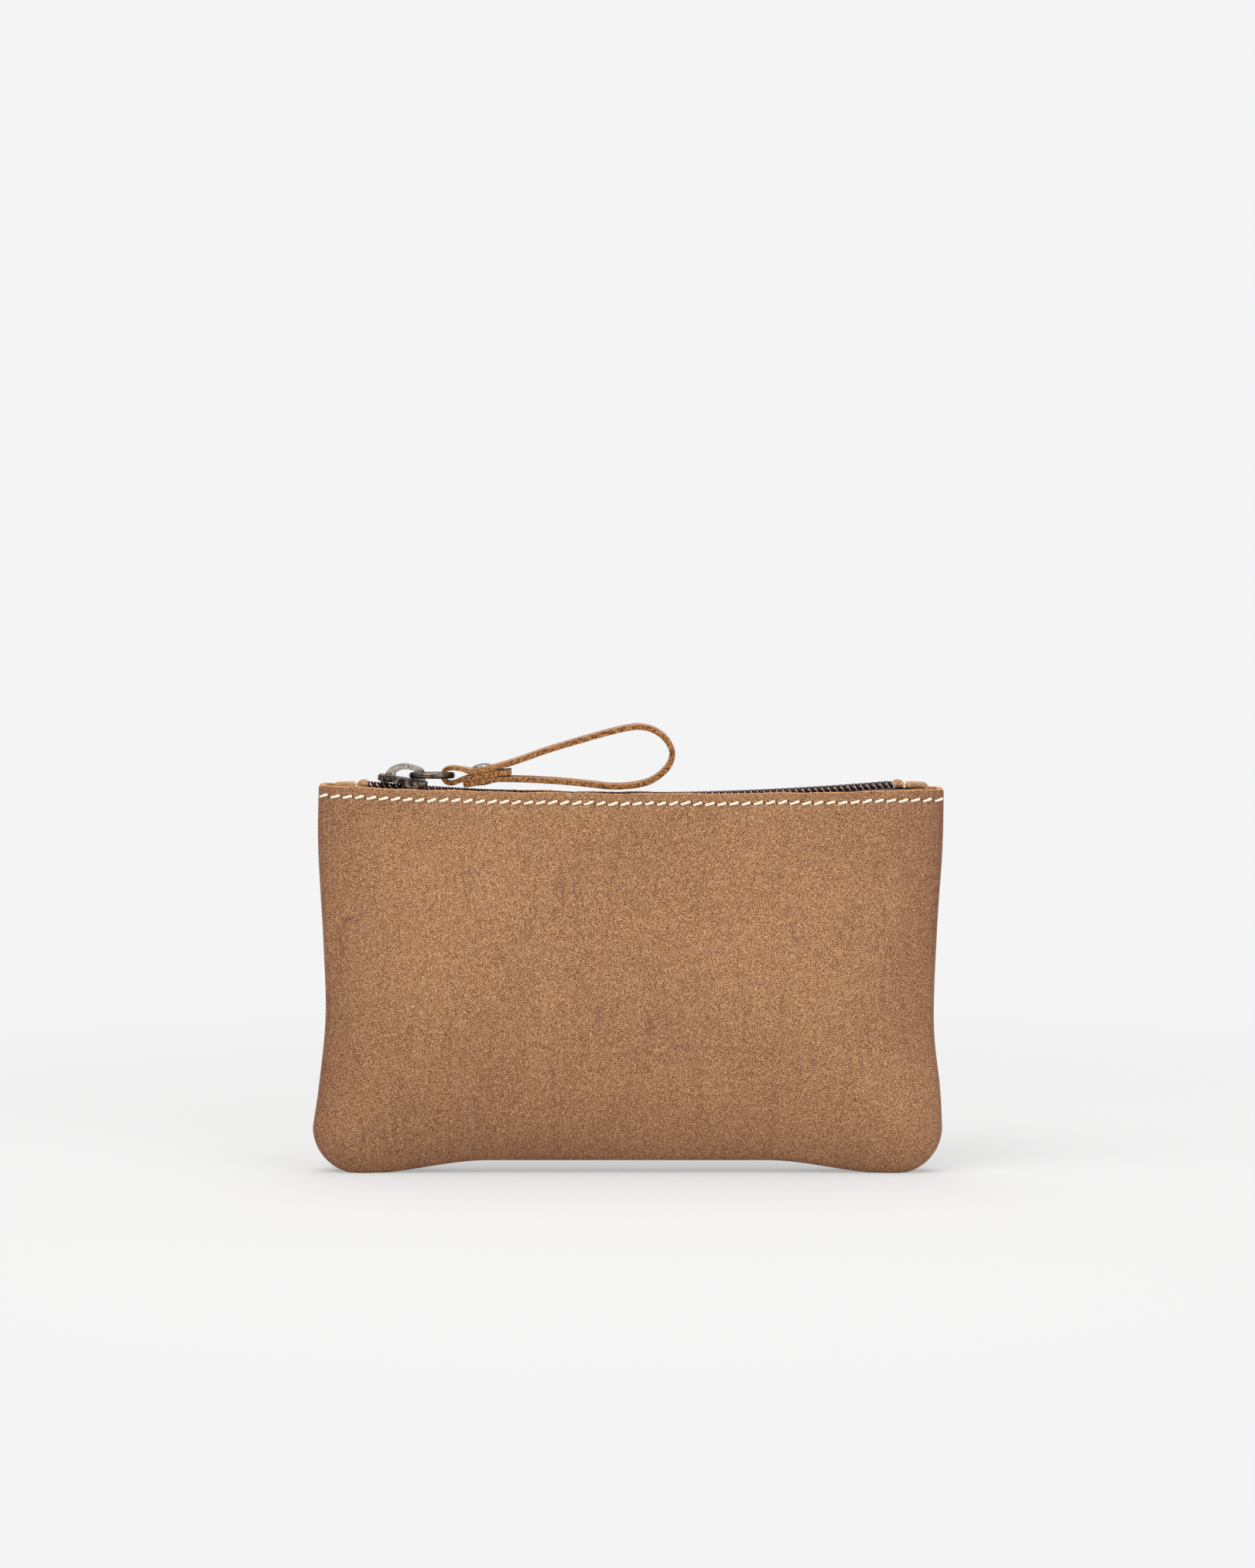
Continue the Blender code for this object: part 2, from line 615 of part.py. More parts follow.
def turned_object(name, profile, place, skin):
    """A turned part from its profile of (radius, height) points, top to bottom along the outside."""
    mesh = bpy.data.meshes.new(name)
    line = bmesh.new()
    verts = [line.verts.new(Vector((r, 0.0, z)) * MM) for r, z in profile]
    for a, b in zip(verts, verts[1:]):
        line.edges.new((a, b))
    line.to_mesh(mesh)
    line.free()
    obj = add_object(name, mesh, skin)
    screw = obj.modifiers.new("turn", "SCREW")
    screw.steps = TURNED_SIDES
    screw.render_steps = TURNED_SIDES
    screw.use_merge_vertices = True
    screw.merge_threshold = 1e-5
    screw.use_smooth_shade = True
    obj.matrix_world = place
    return obj


def pull_strap():
    """Leather strip folded round the ring and back, with a hole for the rivet."""
    path = smooth_path(STRAP_PATH, 2)
    rows = [[(x, v * strap_half_width(x), z) for v in (-1, 1)] for x, z in path]
    strap = sheet_object("pull_strap", rows, STRAP_LEATHER, STRAP, 0.0)
    hole = bpy.data.meshes.new("rivet_hole")
    work = bmesh.new()
    bmesh.ops.create_cone(work, cap_ends=True, segments=16, radius1=RIVET_HOLE * MM, radius2=RIVET_HOLE * MM,
                          depth=12.0 * MM)
    bmesh.ops.translate(work, vec=Vector((0.0, 0.0, RIVET_STACK / 2)) * MM, verts=work.verts)
    work.to_mesh(hole)
    work.free()
    boolean(strap, hole, "DIFFERENCE", rivet_frame())
    return strap


def rivet():
    """Double-cap rivet: a shank with its foot cap under the strap, and a domed cap on top."""
    rim = RIVET_HEAD - 0.1
    top = RIVET_STACK + RIVET_GAP
    foot = -RIVET_GAP
    cap = [(0.0, top + 0.8), (1.4, top + 0.72), (2.3, top + 0.5), (rim, top + 0.2), (RIVET_HEAD, top + 0.08),
           (rim, top), (RIVET_HOLE, top), (RIVET_HOLE, top + 0.4), (0.0, top + 0.4)]
    shank = [(0.0, top + 0.2), (RIVET_SHANK, top + 0.2), (RIVET_SHANK, foot), (rim, foot),
             (RIVET_HEAD, foot - 0.1), (rim - 0.2, foot - 0.32), (1.6, foot - 0.42), (0.0, foot - 0.42)]
    place = rivet_frame()
    turned_object("rivet_cap", cap, place, RIVET_METAL)
    turned_object("rivet_post", shank, place, RIVET_METAL)


# ---------------------------------------------------------------- threads


def topstitch(name, side):
    """Thread row below a panel's raw edge."""
    points = []
    for x in np.linspace(TOPSTITCH_FROM, TOPSTITCH_TO, TOPSTITCH_POINTS):
        z = lip_height(x, side) - TOPSTITCH_DROP
        points.append((x, side * (half_depth(x, z) + GAP + THREAD), z))
    return tube_object(name, points, THREAD, THREAD_CREAM)


def seam_thread(name, side):
    """Thread of the closing seam, on the flesh side of one panel's allowance."""
    left, bottom, right = panel_edge()
    edge = np.vstack([left, bottom[1:], right[1:]])
    points = edge + normals_2d(edge) * SEAM_LINE
    keep = points[points[:, 1] < SEAM_TOP]
    depth = PANEL_GAP + LEATHER + THREAD_GAP + THREAD
    return tube_object(name, [(x, side * depth, z) for x, z in keep], THREAD, THREAD_CREAM)


def tab_stitch(name, start, direction):
    """Thread across an end tab."""
    x = start + direction * TAB_STITCH
    z = zip_top(start) - TAPE_DROP + TAB_GAP / 2 + TAB_LEATHER + THREAD_GAP + THREAD
    half = tab_half_width(TAB_STITCH) - 0.6
    points = [(x, y, z) for y in np.linspace(-half, half, 5)]
    return tube_object(name, points, THREAD, THREAD_CREAM)


def build():
    """Makes every piece of the pouch."""
    for word, side in (("front", -1), ("back", 1)):
        panel(f"{word}_panel", side)
        tape(f"{word}_tape", side)
        coil(f"{word}_coil", side)
        topstitch(f"{word}_topstitch", side)
        seam_thread(f"{word}_seam_thread", side)
    for word, start, direction in (("left", ZIP_LEFT - TAB_START, -1), ("right", ZIP_RIGHT + TAB_START, 1)):
        end_tab(f"{word}_end_tab", start, direction)
        tab_stitch(f"{word}_tab_stitch", start, direction)
    slider_body()
    slider_crown()
    pull_ring()
    pull_strap()
    rivet()


build()
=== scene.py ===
"""The looks of the zippered leather pouch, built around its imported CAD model."""

import math
import random

import bmesh
import bpy
import numpy as np
from mathutils import Matrix, Vector, noise


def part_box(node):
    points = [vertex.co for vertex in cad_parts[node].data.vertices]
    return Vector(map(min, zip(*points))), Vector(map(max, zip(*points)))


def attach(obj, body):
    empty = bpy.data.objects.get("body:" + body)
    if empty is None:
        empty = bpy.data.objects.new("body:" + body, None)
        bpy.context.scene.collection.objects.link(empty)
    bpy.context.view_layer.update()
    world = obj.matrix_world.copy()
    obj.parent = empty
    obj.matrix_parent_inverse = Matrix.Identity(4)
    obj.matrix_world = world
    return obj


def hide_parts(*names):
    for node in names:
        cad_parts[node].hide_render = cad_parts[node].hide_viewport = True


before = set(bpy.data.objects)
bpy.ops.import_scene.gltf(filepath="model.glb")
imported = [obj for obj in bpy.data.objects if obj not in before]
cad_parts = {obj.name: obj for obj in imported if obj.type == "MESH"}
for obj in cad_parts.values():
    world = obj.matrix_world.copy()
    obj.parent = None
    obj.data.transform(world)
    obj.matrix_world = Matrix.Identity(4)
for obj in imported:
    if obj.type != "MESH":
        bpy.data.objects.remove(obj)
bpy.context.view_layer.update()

MM = 0.001
SEED = 7
random.seed(SEED)


def node_box(name):
    """Lowest and highest corner of a CAD node in millimetres."""
    low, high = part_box(name)
    return [c / MM for c in low], [c / MM for c in high]


# ---------------------------------------------------------------- sizes, in millimetres

LEATHER = 2.0
HALF_WIDTH = 100.0
CORNER_RADIUS = 15.0
GROUND_PRESS = 0.4  # how far the bottom rolls are pressed flat on the ground
CORNER_TOP = CORNER_RADIUS - GROUND_PRESS
SIDE_LEFT = [(-97.6, 124.0), (-97.9, 104.0), (-96.4, 74.0), (-95.8, 50.0), (-98.0, 28.0),
             (-HALF_WIDTH, CORNER_TOP)]
SIDE_RIGHT = [(100.0, 124.0), (99.7, 104.0), (98.1, 78.0), (97.2, 48.0), (99.3, 27.0),
              (HALF_WIDTH, CORNER_TOP)]
BOTTOM_ARCH = 4.3  # height of the bottom edge between the two corners
BOTTOM_ARCH_FROM = 84.0  # distance from the middle where the bottom edge leaves the ground
BOTTOM_ARCH_RUN = 40.0  # length over which it rises
LIP_LOW = 121.1  # height of the front panel's raw top edge at the middle
LIP_BOW = 1.9  # how much higher that edge is at the sides
LIP_TILT = 0.6  # extra height at the left side, missing at the right side
LIP_WAVE = 0.12
LIP_RIPPLE = 0.08
BACK_LIP_DROP = 0.7  # the back panel's top edge sits lower at the middle
PANEL_GAP = 0.15  # half of the gap between the two panels in the seam
ROLL_DEPTH = 5.6  # half depth just inside the seam roll
LIP_DEPTH = 8.0  # half depth at the middle of the top edge
SHOULDER_RUN = 7.0  # how far in from the seam roll the shoulder is reached
BELLY = 7.0  # extra half depth at the fullest height
BELLY_HEIGHT = 48.0  # the pouch is full up to here and tapers above it
BELLY_TOP = LIP_LOW + 4.0  # height where the taper would end
BELLY_RUN = 28.0  # how far in from the seam roll the belly grows
BELLY_POWER = 1.3
SWELL = 1.1  # height of the leather's broad waves
RIPPLE = 0.45  # height of its narrow ones
WAVES_FROM_SEAM = 18.0
WAVES_FROM_LIP = 14.0
# Inset from the outline and half depth, from the turned allowance out round the seam roll
SEAM_SECTION = [(8.0, PANEL_GAP), (1.9, PANEL_GAP), (1.2, 0.45), (0.45, 1.1), (0.0, 2.4), (0.05, 3.6),
                (0.4, 4.6), (1.2, 5.2), (2.4, ROLL_DEPTH)]
SEAM_INSET = SEAM_SECTION[-1][0]
FLAP_SHORT = 2.4  # the allowance is trimmed short beside the end tabs
FLAP_TRIM_HEIGHT = 113.0
COLUMNS = 256  # faces across a panel
ROWS = 116  # faces down a panel
LIP_BAND = 9.0  # the finely divided band along the top edge
LIP_ROWS = 26
CORNER_CROWDING = 1.4  # how much the rows crowd towards the bottom corners
CORNER_DROP = 0.9  # how far the raw edge rounds down where it meets the side seams
CORNER_DROP_REACH = 3.0
EDGE_ROUND = 0.3
FRAY = 0.16
EDGE_RUB_AND_SHADE = 0.62  # how dark the grain is made next to the seams: partly rubbed wear, partly painted shade where the panel curves away
EDGE_RUB_AND_SHADE_REACH = 9.0
# how dark the seam roll and its allowance are made: partly rubbed wear, partly painted shade where the
# leather turns into the seam
SEAM_RUB_AND_SHADE = 0.66

STITCH_DROP = 3.1  # how far below the raw edge the topstitching runs
STITCH_PITCH = 3.75
STITCH_SPAN = 3.0
STITCH_RISE = 0.72
STITCH_INSET = 1.6  # distance of the first and last stitch from the sides
STITCH_SINK = 0.35  # how deep its ends lie in the leather
STITCH_ARCH = 0.62  # how high its middle stands above them
STITCH_DIMPLE = 0.4
DIMPLE_REACH = 1.15
THREAD = 0.41  # radius
SEAM_LINE = 3.6  # how far inside the outline the closing seam runs
SEAM_TOP = 114.0
SEAM_STITCHES = 96
SEAM_THREAD = 0.28  # radius

ZIP_LOW = 120.9
ZIP_RADIUS = 950.0
ZIP_LEVEL_FROM = 82.0
COIL_LOW, COIL_HIGH = node_box("front_coil")
ZIP_LEFT, ZIP_RIGHT = COIL_LOW[0], COIL_HIGH[0]
COIL_PITCH = 2.04
COIL_WIRE = 0.42
COIL_HEIGHT = 1.9
TIE = 0.13  # radius of the thread that sews each loop to the tape
TAPE = 0.6
TAPE_DROP = COIL_HEIGHT + TAPE
TAPE_END = 90.6
TAPE_STATIONS = 140

TAB_LEATHER = 1.7
TAB_GAP = 1.2
TAB_HALF_WIDTH = 3.95
TAB_TAPER = 1.7  # how much narrower it is at its fold
TAB_START = 0.3  # gap between the coils and a tab
TAB_STITCH = 3.1  # distance of its stitch from its open side
TAB_THREAD = 0.4  # radius

WORN_EDGE = 0.22  # rounding of the slider castings' edges
RING_RADIUS = 6.25
RING_WIRE = 1.05  # radius
RING_TILT = math.radians(3.5)
RING_SPLIT = 242.0  # direction of the hair line where the wire's ends meet, in degrees
RING_LOW, RING_HIGH = node_box("pull_ring")
RING_CENTRE = [(low + high) / 2 for low, high in zip(RING_LOW, RING_HIGH)]

STRAP = 1.8
STRAP_NECK_THICKNESS = 1.5  # pared down where it folds round the ring
STRAP_STEPS = 20
STRAP_HALF_WIDTH = 4.2
STRAP_NECK_HALF_WIDTH = 2.4
STRAP_NECK = (-53.0, -49.5)  # narrow up to the first x, full width from the second
STRAP_PATH = [
    (-36.8, 127.6), (-41.0, 127.2), (-45.3, 126.53), (-49.3, 125.75), (-52.2, 125.1), (-55.3, 124.0),
    (-57.5, 124.5), (-58.4, 126.4), (-57.5, 128.2), (-55.3, 128.78), (-52.2, 128.4), (-49.3, 127.75),
    (-45.3, 128.38), (-41.0, 129.25), (-36.8, 130.5), (-32.0, 132.1), (-26.0, 134.25), (-16.0, 137.3),
    (-6.4, 140.0), (-1.0, 141.3), (3.5, 141.85), (8.1, 140.9), (11.9, 138.2), (14.0, 134.5), (13.9, 131.5),
    (12.6, 128.9), (10.3, 126.6), (7.0, 124.6), (3.0, 123.5), (-1.5, 123.0), (-6.1, 123.0), (-11.3, 123.6),
    (-21.0, 124.55), (-30.0, 125.1), (-36.8, 125.3), (-41.0, 125.3), (-45.3, 124.68), (-49.3, 123.9),
    (-51.9, 123.4),
]

RIVET_X = -45.3
RIVET_SLOPE = math.radians(9.5)
RIVET_BOTTOM_Z = 123.83  # underside of the lowest layer on the rivet's axis
RIVET_STACK = 5.4  # three layers with their gaps
RIVET_HEAD = 2.9
RIVET_SHANK = 0.95

# Scales of the leather's grain, in cells or waves a metre
GRAIN_CELLS = 1750.0
GRAIN_WORMS = 1900.0
GRAIN_SPECKS = 3500.0


# ---------------------------------------------------------------- camera, light and floor

CAMERA_DISTANCE = 1.65
CAMERA_ELEVATION = math.radians(4.5)
VIEW_HEIGHT = 0.4966  # height of the picture at the pouch
AIM = Vector((0.0, 0.0, 0.1236))
SENSOR = 36.0
BACKDROP = 0.905
FLOOR_HALF = 12.0
FLOOR_ALBEDO = 0.36  # of the part near the pouch that takes its shadow
FLOOR_NEAR, FLOOR_FAR = 0.15, 0.5  # the shadowed part fades out between these distances
FLOOR_LIT = 0.536  # what the lights add to the floor near the pouch
FLOOR_BOUNCE = 0.72  # how much light the floor throws back up


def camera():
    """A long lens a little above the pouch, looking slightly down at its front."""
    data = bpy.data.cameras.new("camera")
    data.sensor_fit = "VERTICAL"
    data.sensor_height = SENSOR
    data.lens = SENSOR * CAMERA_DISTANCE / VIEW_HEIGHT
    obj = bpy.data.objects.new("camera", data)
    bpy.context.scene.collection.objects.link(obj)
    back = Vector((0.0, -math.cos(CAMERA_ELEVATION), math.sin(CAMERA_ELEVATION)))
    obj.location = AIM + back * CAMERA_DISTANCE
    obj.rotation_euler = (math.pi / 2 - CAMERA_ELEVATION, 0.0, 0.0)
    bpy.context.scene.camera = obj


def grey(value):
    """A grey in linear light."""
    return (value, value, value, 1.0)


def area_light(name, place, aim, size, power, color=(1.0, 1.0, 1.0)):
    """A rectangular soft light that faces a point."""
    data = bpy.data.lights.new(name, "AREA")
    data.shape = "RECTANGLE"
    data.size, data.size_y = size
    data.energy = power
    data.color = color
    obj = bpy.data.objects.new(name, data)
    bpy.context.scene.collection.objects.link(obj)
    obj.location = place
    obj.rotation_euler = (Vector(aim) - Vector(place)).to_track_quat("-Z", "Y").to_euler()


def lights():
    """A key light at the upper left, a weaker fill at the right and a light above."""
    area_light("key_light", (-0.45, -0.55, 1.15), (0.0, 0.0, 0.08), (0.9, 0.6), 8.5, (1.0, 0.99, 0.97))
    area_light("fill_light", (0.9, -1.1, 0.55), (0.0, 0.0, 0.07), (0.9, 0.9), 6.0)
    area_light("top_light", (0.15, 0.1, 1.2), (0.0, 0.0, 0.1), (1.2, 0.5), 7.0)


def studio_world():
    """Soft light, brighter from above than from below, seen by the camera as a plain pale backdrop."""
    world = bpy.data.worlds.new("studio")
    bpy.context.scene.world = world
    world.use_nodes = True
    nodes, links = world.node_tree.nodes, world.node_tree.links
    nodes.clear()
    out = nodes.new("ShaderNodeOutputWorld")
    plain = nodes.new("ShaderNodeBackground")
    plain.inputs["Color"].default_value = grey(BACKDROP)
    dome = nodes.new("ShaderNodeBackground")
    mix = nodes.new("ShaderNodeMixShader")
    path = nodes.new("ShaderNodeLightPath")
    place = nodes.new("ShaderNodeTexCoord")
    split = nodes.new("ShaderNodeSeparateXYZ")
    ramp = nodes.new("ShaderNodeMapRange")
    ramp.inputs["From Min"].default_value = -0.6
    ramp.inputs["From Max"].default_value = 0.9
    ramp.inputs["To Min"].default_value = 0.22
    ramp.inputs["To Max"].default_value = 0.95
    links.new(place.outputs["Generated"], split.inputs[0])
    links.new(split.outputs["Z"], ramp.inputs["Value"])
    links.new(ramp.outputs["Result"], dome.inputs["Strength"])
    links.new(path.outputs["Is Camera Ray"], mix.inputs[0])
    links.new(dome.outputs[0], mix.inputs[1])
    links.new(plain.outputs[0], mix.inputs[2])
    links.new(mix.outputs[0], out.inputs["Surface"])


def floor():
    """Pale floor as even as the backdrop, which takes the pouch's shadow and throws light back up."""
    mesh = bpy.data.meshes.new("floor")
    work = bmesh.new()
    bmesh.ops.create_grid(work, x_segments=1, y_segments=1, size=FLOOR_HALF)
    work.to_mesh(mesh)
    work.free()
    obj = bpy.data.objects.new("floor", mesh)
    bpy.context.scene.collection.objects.link(obj)
    g = Graph("floor")
    g.nodes.remove(g.shader)
    away = g.add("ShaderNodeVectorMath", operation="LENGTH")
    g.feed(away.inputs[0], g.place)
    near = g.span(away.outputs["Value"], FLOOR_FAR, FLOOR_NEAR)
    shade = g.add("ShaderNodeBsdfDiffuse")
    g.feed(shade.inputs["Color"], g.mix(near, grey(0.0), grey(FLOOR_ALBEDO)))
    glow = g.add("ShaderNodeEmission")
    g.feed(glow.inputs["Strength"], g.math("MULTIPLY_ADD", near, -FLOOR_LIT, BACKDROP))
    seen = g.add("ShaderNodeAddShader")
    g.links.new(shade.outputs[0], seen.inputs[0])
    g.links.new(glow.outputs[0], seen.inputs[1])
    bounce = g.add("ShaderNodeBsdfDiffuse")
    g.feed(bounce.inputs["Color"], grey(FLOOR_BOUNCE))
    path = g.add("ShaderNodeLightPath")
    mix = g.add("ShaderNodeMixShader")
    g.links.new(path.outputs["Is Camera Ray"], mix.inputs[0])
    g.links.new(bounce.outputs[0], mix.inputs[1])
    g.links.new(seen.outputs[0], mix.inputs[2])
    g.links.new(mix.outputs[0], g.nodes["Material Output"].inputs["Surface"])
    mesh.materials.append(g.material)


# ---------------------------------------------------------------- materials


def srgb(red, green, blue):
    """A colour given as it looks on screen, 0 to 255, in linear light."""
    out = []
    for value in (red, green, blue):
        c = value / 255.0
        out.append(c / 12.92 if c <= 0.04045 else ((c + 0.055) / 1.055) ** 2.4)
    return (*out, 1.0)


class Graph:
    """A node tree that is written line by line."""

    def __init__(self, name):
        self.material = bpy.data.materials.new(name)
        self.material.use_nodes = True
        self.nodes = self.material.node_tree.nodes
        self.links = self.material.node_tree.links
        self.shader = self.nodes["Principled BSDF"]
        self.place = self.add("ShaderNodeTexCoord").outputs["Object"]

    def add(self, kind, **settings):
        node = self.nodes.new(kind)
        for key, value in settings.items():
            setattr(node, key, value)
        return node

    def feed(self, socket, value):
        """Links a socket, or sets it where the value is a constant."""
        if isinstance(value, bpy.types.NodeSocket):
            self.links.new(value, socket)
        else:
            socket.default_value = value

    def math(self, operation, a, b=0.0, c=0.0):
        node = self.add("ShaderNodeMath", operation=operation)
        for socket, value in zip(node.inputs, (a, b, c)):
            self.feed(socket, value)
        return node.outputs[0]

    def noise(self, scale, detail=2.0, rough=0.5, place=None):
        """Soft noise, with its scale in waves a metre."""
        node = self.add("ShaderNodeTexNoise")
        self.feed(node.inputs["Vector"], place or self.place)
        self.feed(node.inputs["Scale"], scale)
        self.feed(node.inputs["Detail"], detail)
        self.feed(node.inputs["Roughness"], rough)
        return node.outputs["Fac"]

    def cells(self, scale, place):
        """Distance from the borders of irregular cells."""
        node = self.add("ShaderNodeTexVoronoi", feature="DISTANCE_TO_EDGE")
        self.feed(node.inputs["Vector"], place)
        self.feed(node.inputs["Scale"], scale)
        return node.outputs["Distance"]

    def span(self, value, low, high, to_low=0.0, to_high=1.0):
        """A value carried smoothly from one range to another, and held at its ends."""
        node = self.add("ShaderNodeMapRange", interpolation_type="SMOOTHSTEP")
        for socket, item in zip(node.inputs, (value, low, high, to_low, to_high)):
            self.feed(socket, item)
        return node.outputs["Result"]

    def mix(self, share, a, b, blend="MIX"):
        node = self.add("ShaderNodeMix", data_type="RGBA", blend_type=blend)
        self.feed(node.inputs["Factor"], share)
        self.feed(node.inputs[6], a)
        self.feed(node.inputs[7], b)
        return node.outputs[2]

    def warp(self, scale, amount):
        """Places shifted by a noise, for shapes that aren't regular."""
        node = self.add("ShaderNodeTexNoise")
        self.feed(node.inputs["Vector"], self.place)
        self.feed(node.inputs["Scale"], scale)
        self.feed(node.inputs["Detail"], 2.0)
        shift = self.add("ShaderNodeVectorMath", operation="MULTIPLY_ADD")
        self.feed(shift.inputs[0], node.outputs["Color"])
        self.feed(shift.inputs[1], (amount, amount, amount))
        self.feed(shift.inputs[2], self.place)
        return shift.outputs[0]

    def stretch(self, x, y, z):
        """Places scaled along each axis, for marks that run one way."""
        node = self.add("ShaderNodeVectorMath", operation="MULTIPLY")
        self.feed(node.inputs[0], self.place)
        self.feed(node.inputs[1], (x, y, z))
        return node.outputs[0]

    def attribute(self, name):
        node = self.add("ShaderNodeAttribute", attribute_name=name)
        return node.outputs["Fac"]

    def bump(self, height, distance, strength=1.0):
        node = self.add("ShaderNodeBump")
        self.feed(node.inputs["Height"], height)
        self.feed(node.inputs["Distance"], distance)
        self.feed(node.inputs["Strength"], strength)
        self.feed(self.shader.inputs["Normal"], node.outputs[0])

    def surface(self, color, roughness, **sockets):
        """Feeds the shader and gives the finished material."""
        self.feed(self.shader.inputs["Base Color"], color)
        self.feed(self.shader.inputs["Roughness"], roughness)
        for name, value in sockets.items():
            self.feed(self.shader.inputs[name.replace("_", " ")], value)
        return self.material


def grain_leather(name, tint, edge_attribute=None):
    """Waxed tan leather: brown grain in a web of fine golden cracks, mottled, with a few veins.

    The point attribute, if there is one, says how far the grain is darkened near the seams: partly rubbed
    wear, partly painted shade.
    """
    g = Graph(name)
    cloud = g.noise(15.0, 3.0, 0.5)
    patch = g.noise(70.0, 3.0, 0.6)
    fine = g.noise(GRAIN_SPECKS, 0.0, 0.5)
    worm = g.noise(GRAIN_WORMS, 0.0, 0.5, g.warp(600.0, 0.0004))
    ridge = g.span(g.math("ABSOLUTE", g.math("SUBTRACT", worm, 0.5)), 0.16, 0.0)
    crack = g.span(g.cells(GRAIN_CELLS, g.warp(1800.0, 0.0006)), 0.4, 0.0)
    web = g.math("ADD", g.math("MULTIPLY", ridge, 0.14), g.math("MULTIPLY", crack, 0.62))
    web = g.math("MULTIPLY_ADD", g.span(fine, 0.2, 0.8), 0.26, web)
    dense = g.math("MULTIPLY", g.span(patch, 0.3, 0.68, 0.97, 1.0), g.span(cloud, 0.34, 0.62, 0.95, 1.0))
    tone = g.span(g.math("MULTIPLY", web, dense), 0.4, 0.9)
    brown = g.mix(g.span(cloud, 0.38, 0.64), srgb(122, 67, 31), srgb(131, 78, 46))
    brown = g.mix(g.span(patch, 0.36, 0.68, 0.0, 0.5), brown, srgb(124, 70, 34))
    golden = g.mix(g.span(fine, 0.4, 0.6), srgb(226, 174, 104), srgb(240, 200, 152))
    color = g.mix(tone, brown, golden)
    vein = g.math("ABSOLUTE", g.math("SUBTRACT", g.noise(34.0, 4.0, 0.6, g.stretch(2.6, 1.0, 0.5)), 0.5))
    vein = g.math("MULTIPLY", g.span(vein, 0.016, 0.0), g.span(patch, 0.45, 0.62, 0.1, 0.42))
    color = g.mix(vein, color, srgb(104, 62, 42))
    if edge_attribute:
        # darkening near the seams: partly rubbed wear, partly painted shade where the panel curves away
        rub_and_shade = g.math("MULTIPLY", g.attribute(edge_attribute), g.span(cloud, 0.25, 0.6, 1.0, 0.6))
        color = g.mix(rub_and_shade, color, srgb(120, 64, 36))
    color = g.mix(1.0, color, (*tint, 1.0), "MULTIPLY")
    g.bump(g.math("MULTIPLY_ADD", fine, 0.4, web), 0.0001, 0.5)
    return g.surface(color, g.span(tone, 0.0, 1.0, 0.5, 0.64), Specular_IOR_Level=0.42, Sheen_Weight=0.12,
                     Sheen_Roughness=0.45)


def raw_leather(name, bright, dark, fleck, grain=(1.0, 1.0, 1.0)):
    """Cut edge or flesh side: loose fibres, golden where they stand up, with dark flecks between them."""
    g = Graph(name)
    fibre = g.noise(2600.0, 3.0, 0.65, g.stretch(*grain))
    clump = g.noise(1100.0, 3.0, 0.6, g.warp(700.0, 0.0008))
    pit = g.noise(1500.0, 3.0, 0.7, g.warp(900.0, 0.0012))
    color = g.mix(g.span(clump, 0.4, 0.6), dark, bright)
    color = g.mix(g.span(fibre, 0.34, 0.56, fleck, 0.0), color, srgb(104, 62, 36))
    color = g.mix(g.span(pit, 0.4, 0.33, 0.0, fleck * 1.8), color, srgb(62, 36, 22))
    g.bump(g.math("ADD", fibre, g.math("MULTIPLY", clump, 1.5)), 0.0003, 0.8)
    return g.surface(color, 0.86, Specular_IOR_Level=0.25, Sheen_Weight=0.2)


def thread_material(name, tone):
    """Waxed twisted thread."""
    g = Graph(name)
    fuzz = g.noise(3800.0, 3.0, 0.6)
    color = g.mix(g.span(fuzz, 0.3, 0.6), (tone[0] * 0.72, tone[1] * 0.68, tone[2] * 0.58, 1.0), tone)
    g.bump(fuzz, 0.00008, 0.5)
    return g.surface(color, 0.6, Specular_IOR_Level=0.35, Sheen_Weight=0.15)


def metal_material(name, bright, dark, share, roughness):
    """Plated metal, rubbed bright and left dark in its pits."""
    g = Graph(name)
    pits = g.noise(700.0, 5.0, 0.68, g.warp(500.0, 0.0008))
    broad = g.noise(170.0, 3.0, 0.55)
    wear = g.span(g.math("ADD", g.math("MULTIPLY", pits, 0.7), g.math("MULTIPLY", broad, 0.3)), share - 0.08,
                  share + 0.08)
    color = g.mix(wear, dark, bright)
    g.bump(pits, 0.00018, 0.5)
    return g.surface(color, g.span(wear, 0.0, 1.0, roughness + 0.18, roughness), Metallic=1.0)


def coil_material(name):
    """Dark brown nylon."""
    g = Graph(name)
    tone = g.noise(600.0, 2.0)
    color = g.mix(g.span(tone, 0.35, 0.65), srgb(24, 11, 8), srgb(52, 28, 21))
    g.bump(g.noise(3000.0, 2.0), 0.00003, 0.3)
    return g.surface(color, 0.42, Specular_IOR_Level=0.28)


def woven_tape(name):
    """Dark brown tape with a diagonal weave."""
    g = Graph(name)
    wave = g.add("ShaderNodeTexWave", wave_type="BANDS", bands_direction="DIAGONAL")
    g.feed(wave.inputs["Vector"], g.place)
    g.feed(wave.inputs["Scale"], 620.0)
    g.feed(wave.inputs["Distortion"], 0.6)
    rib = g.add("ShaderNodeTexWave", wave_type="BANDS", bands_direction="X")
    g.feed(rib.inputs["Vector"], g.place)
    g.feed(rib.inputs["Scale"], 480.0)
    weave = g.math("MULTIPLY", wave.outputs["Fac"], rib.outputs["Fac"])
    color = g.mix(weave, srgb(36, 25, 22), srgb(92, 68, 58))
    g.bump(weave, 0.0002, 0.8)
    return g.surface(color, 0.92, Sheen_Weight=0.25)


def dark_hole(name):
    """Leather in the shade of a needle hole."""
    g = Graph(name)
    color = g.mix(g.noise(2500.0), srgb(62, 36, 22), srgb(92, 56, 36))
    return g.surface(color, 0.95, Specular_IOR_Level=0.1)


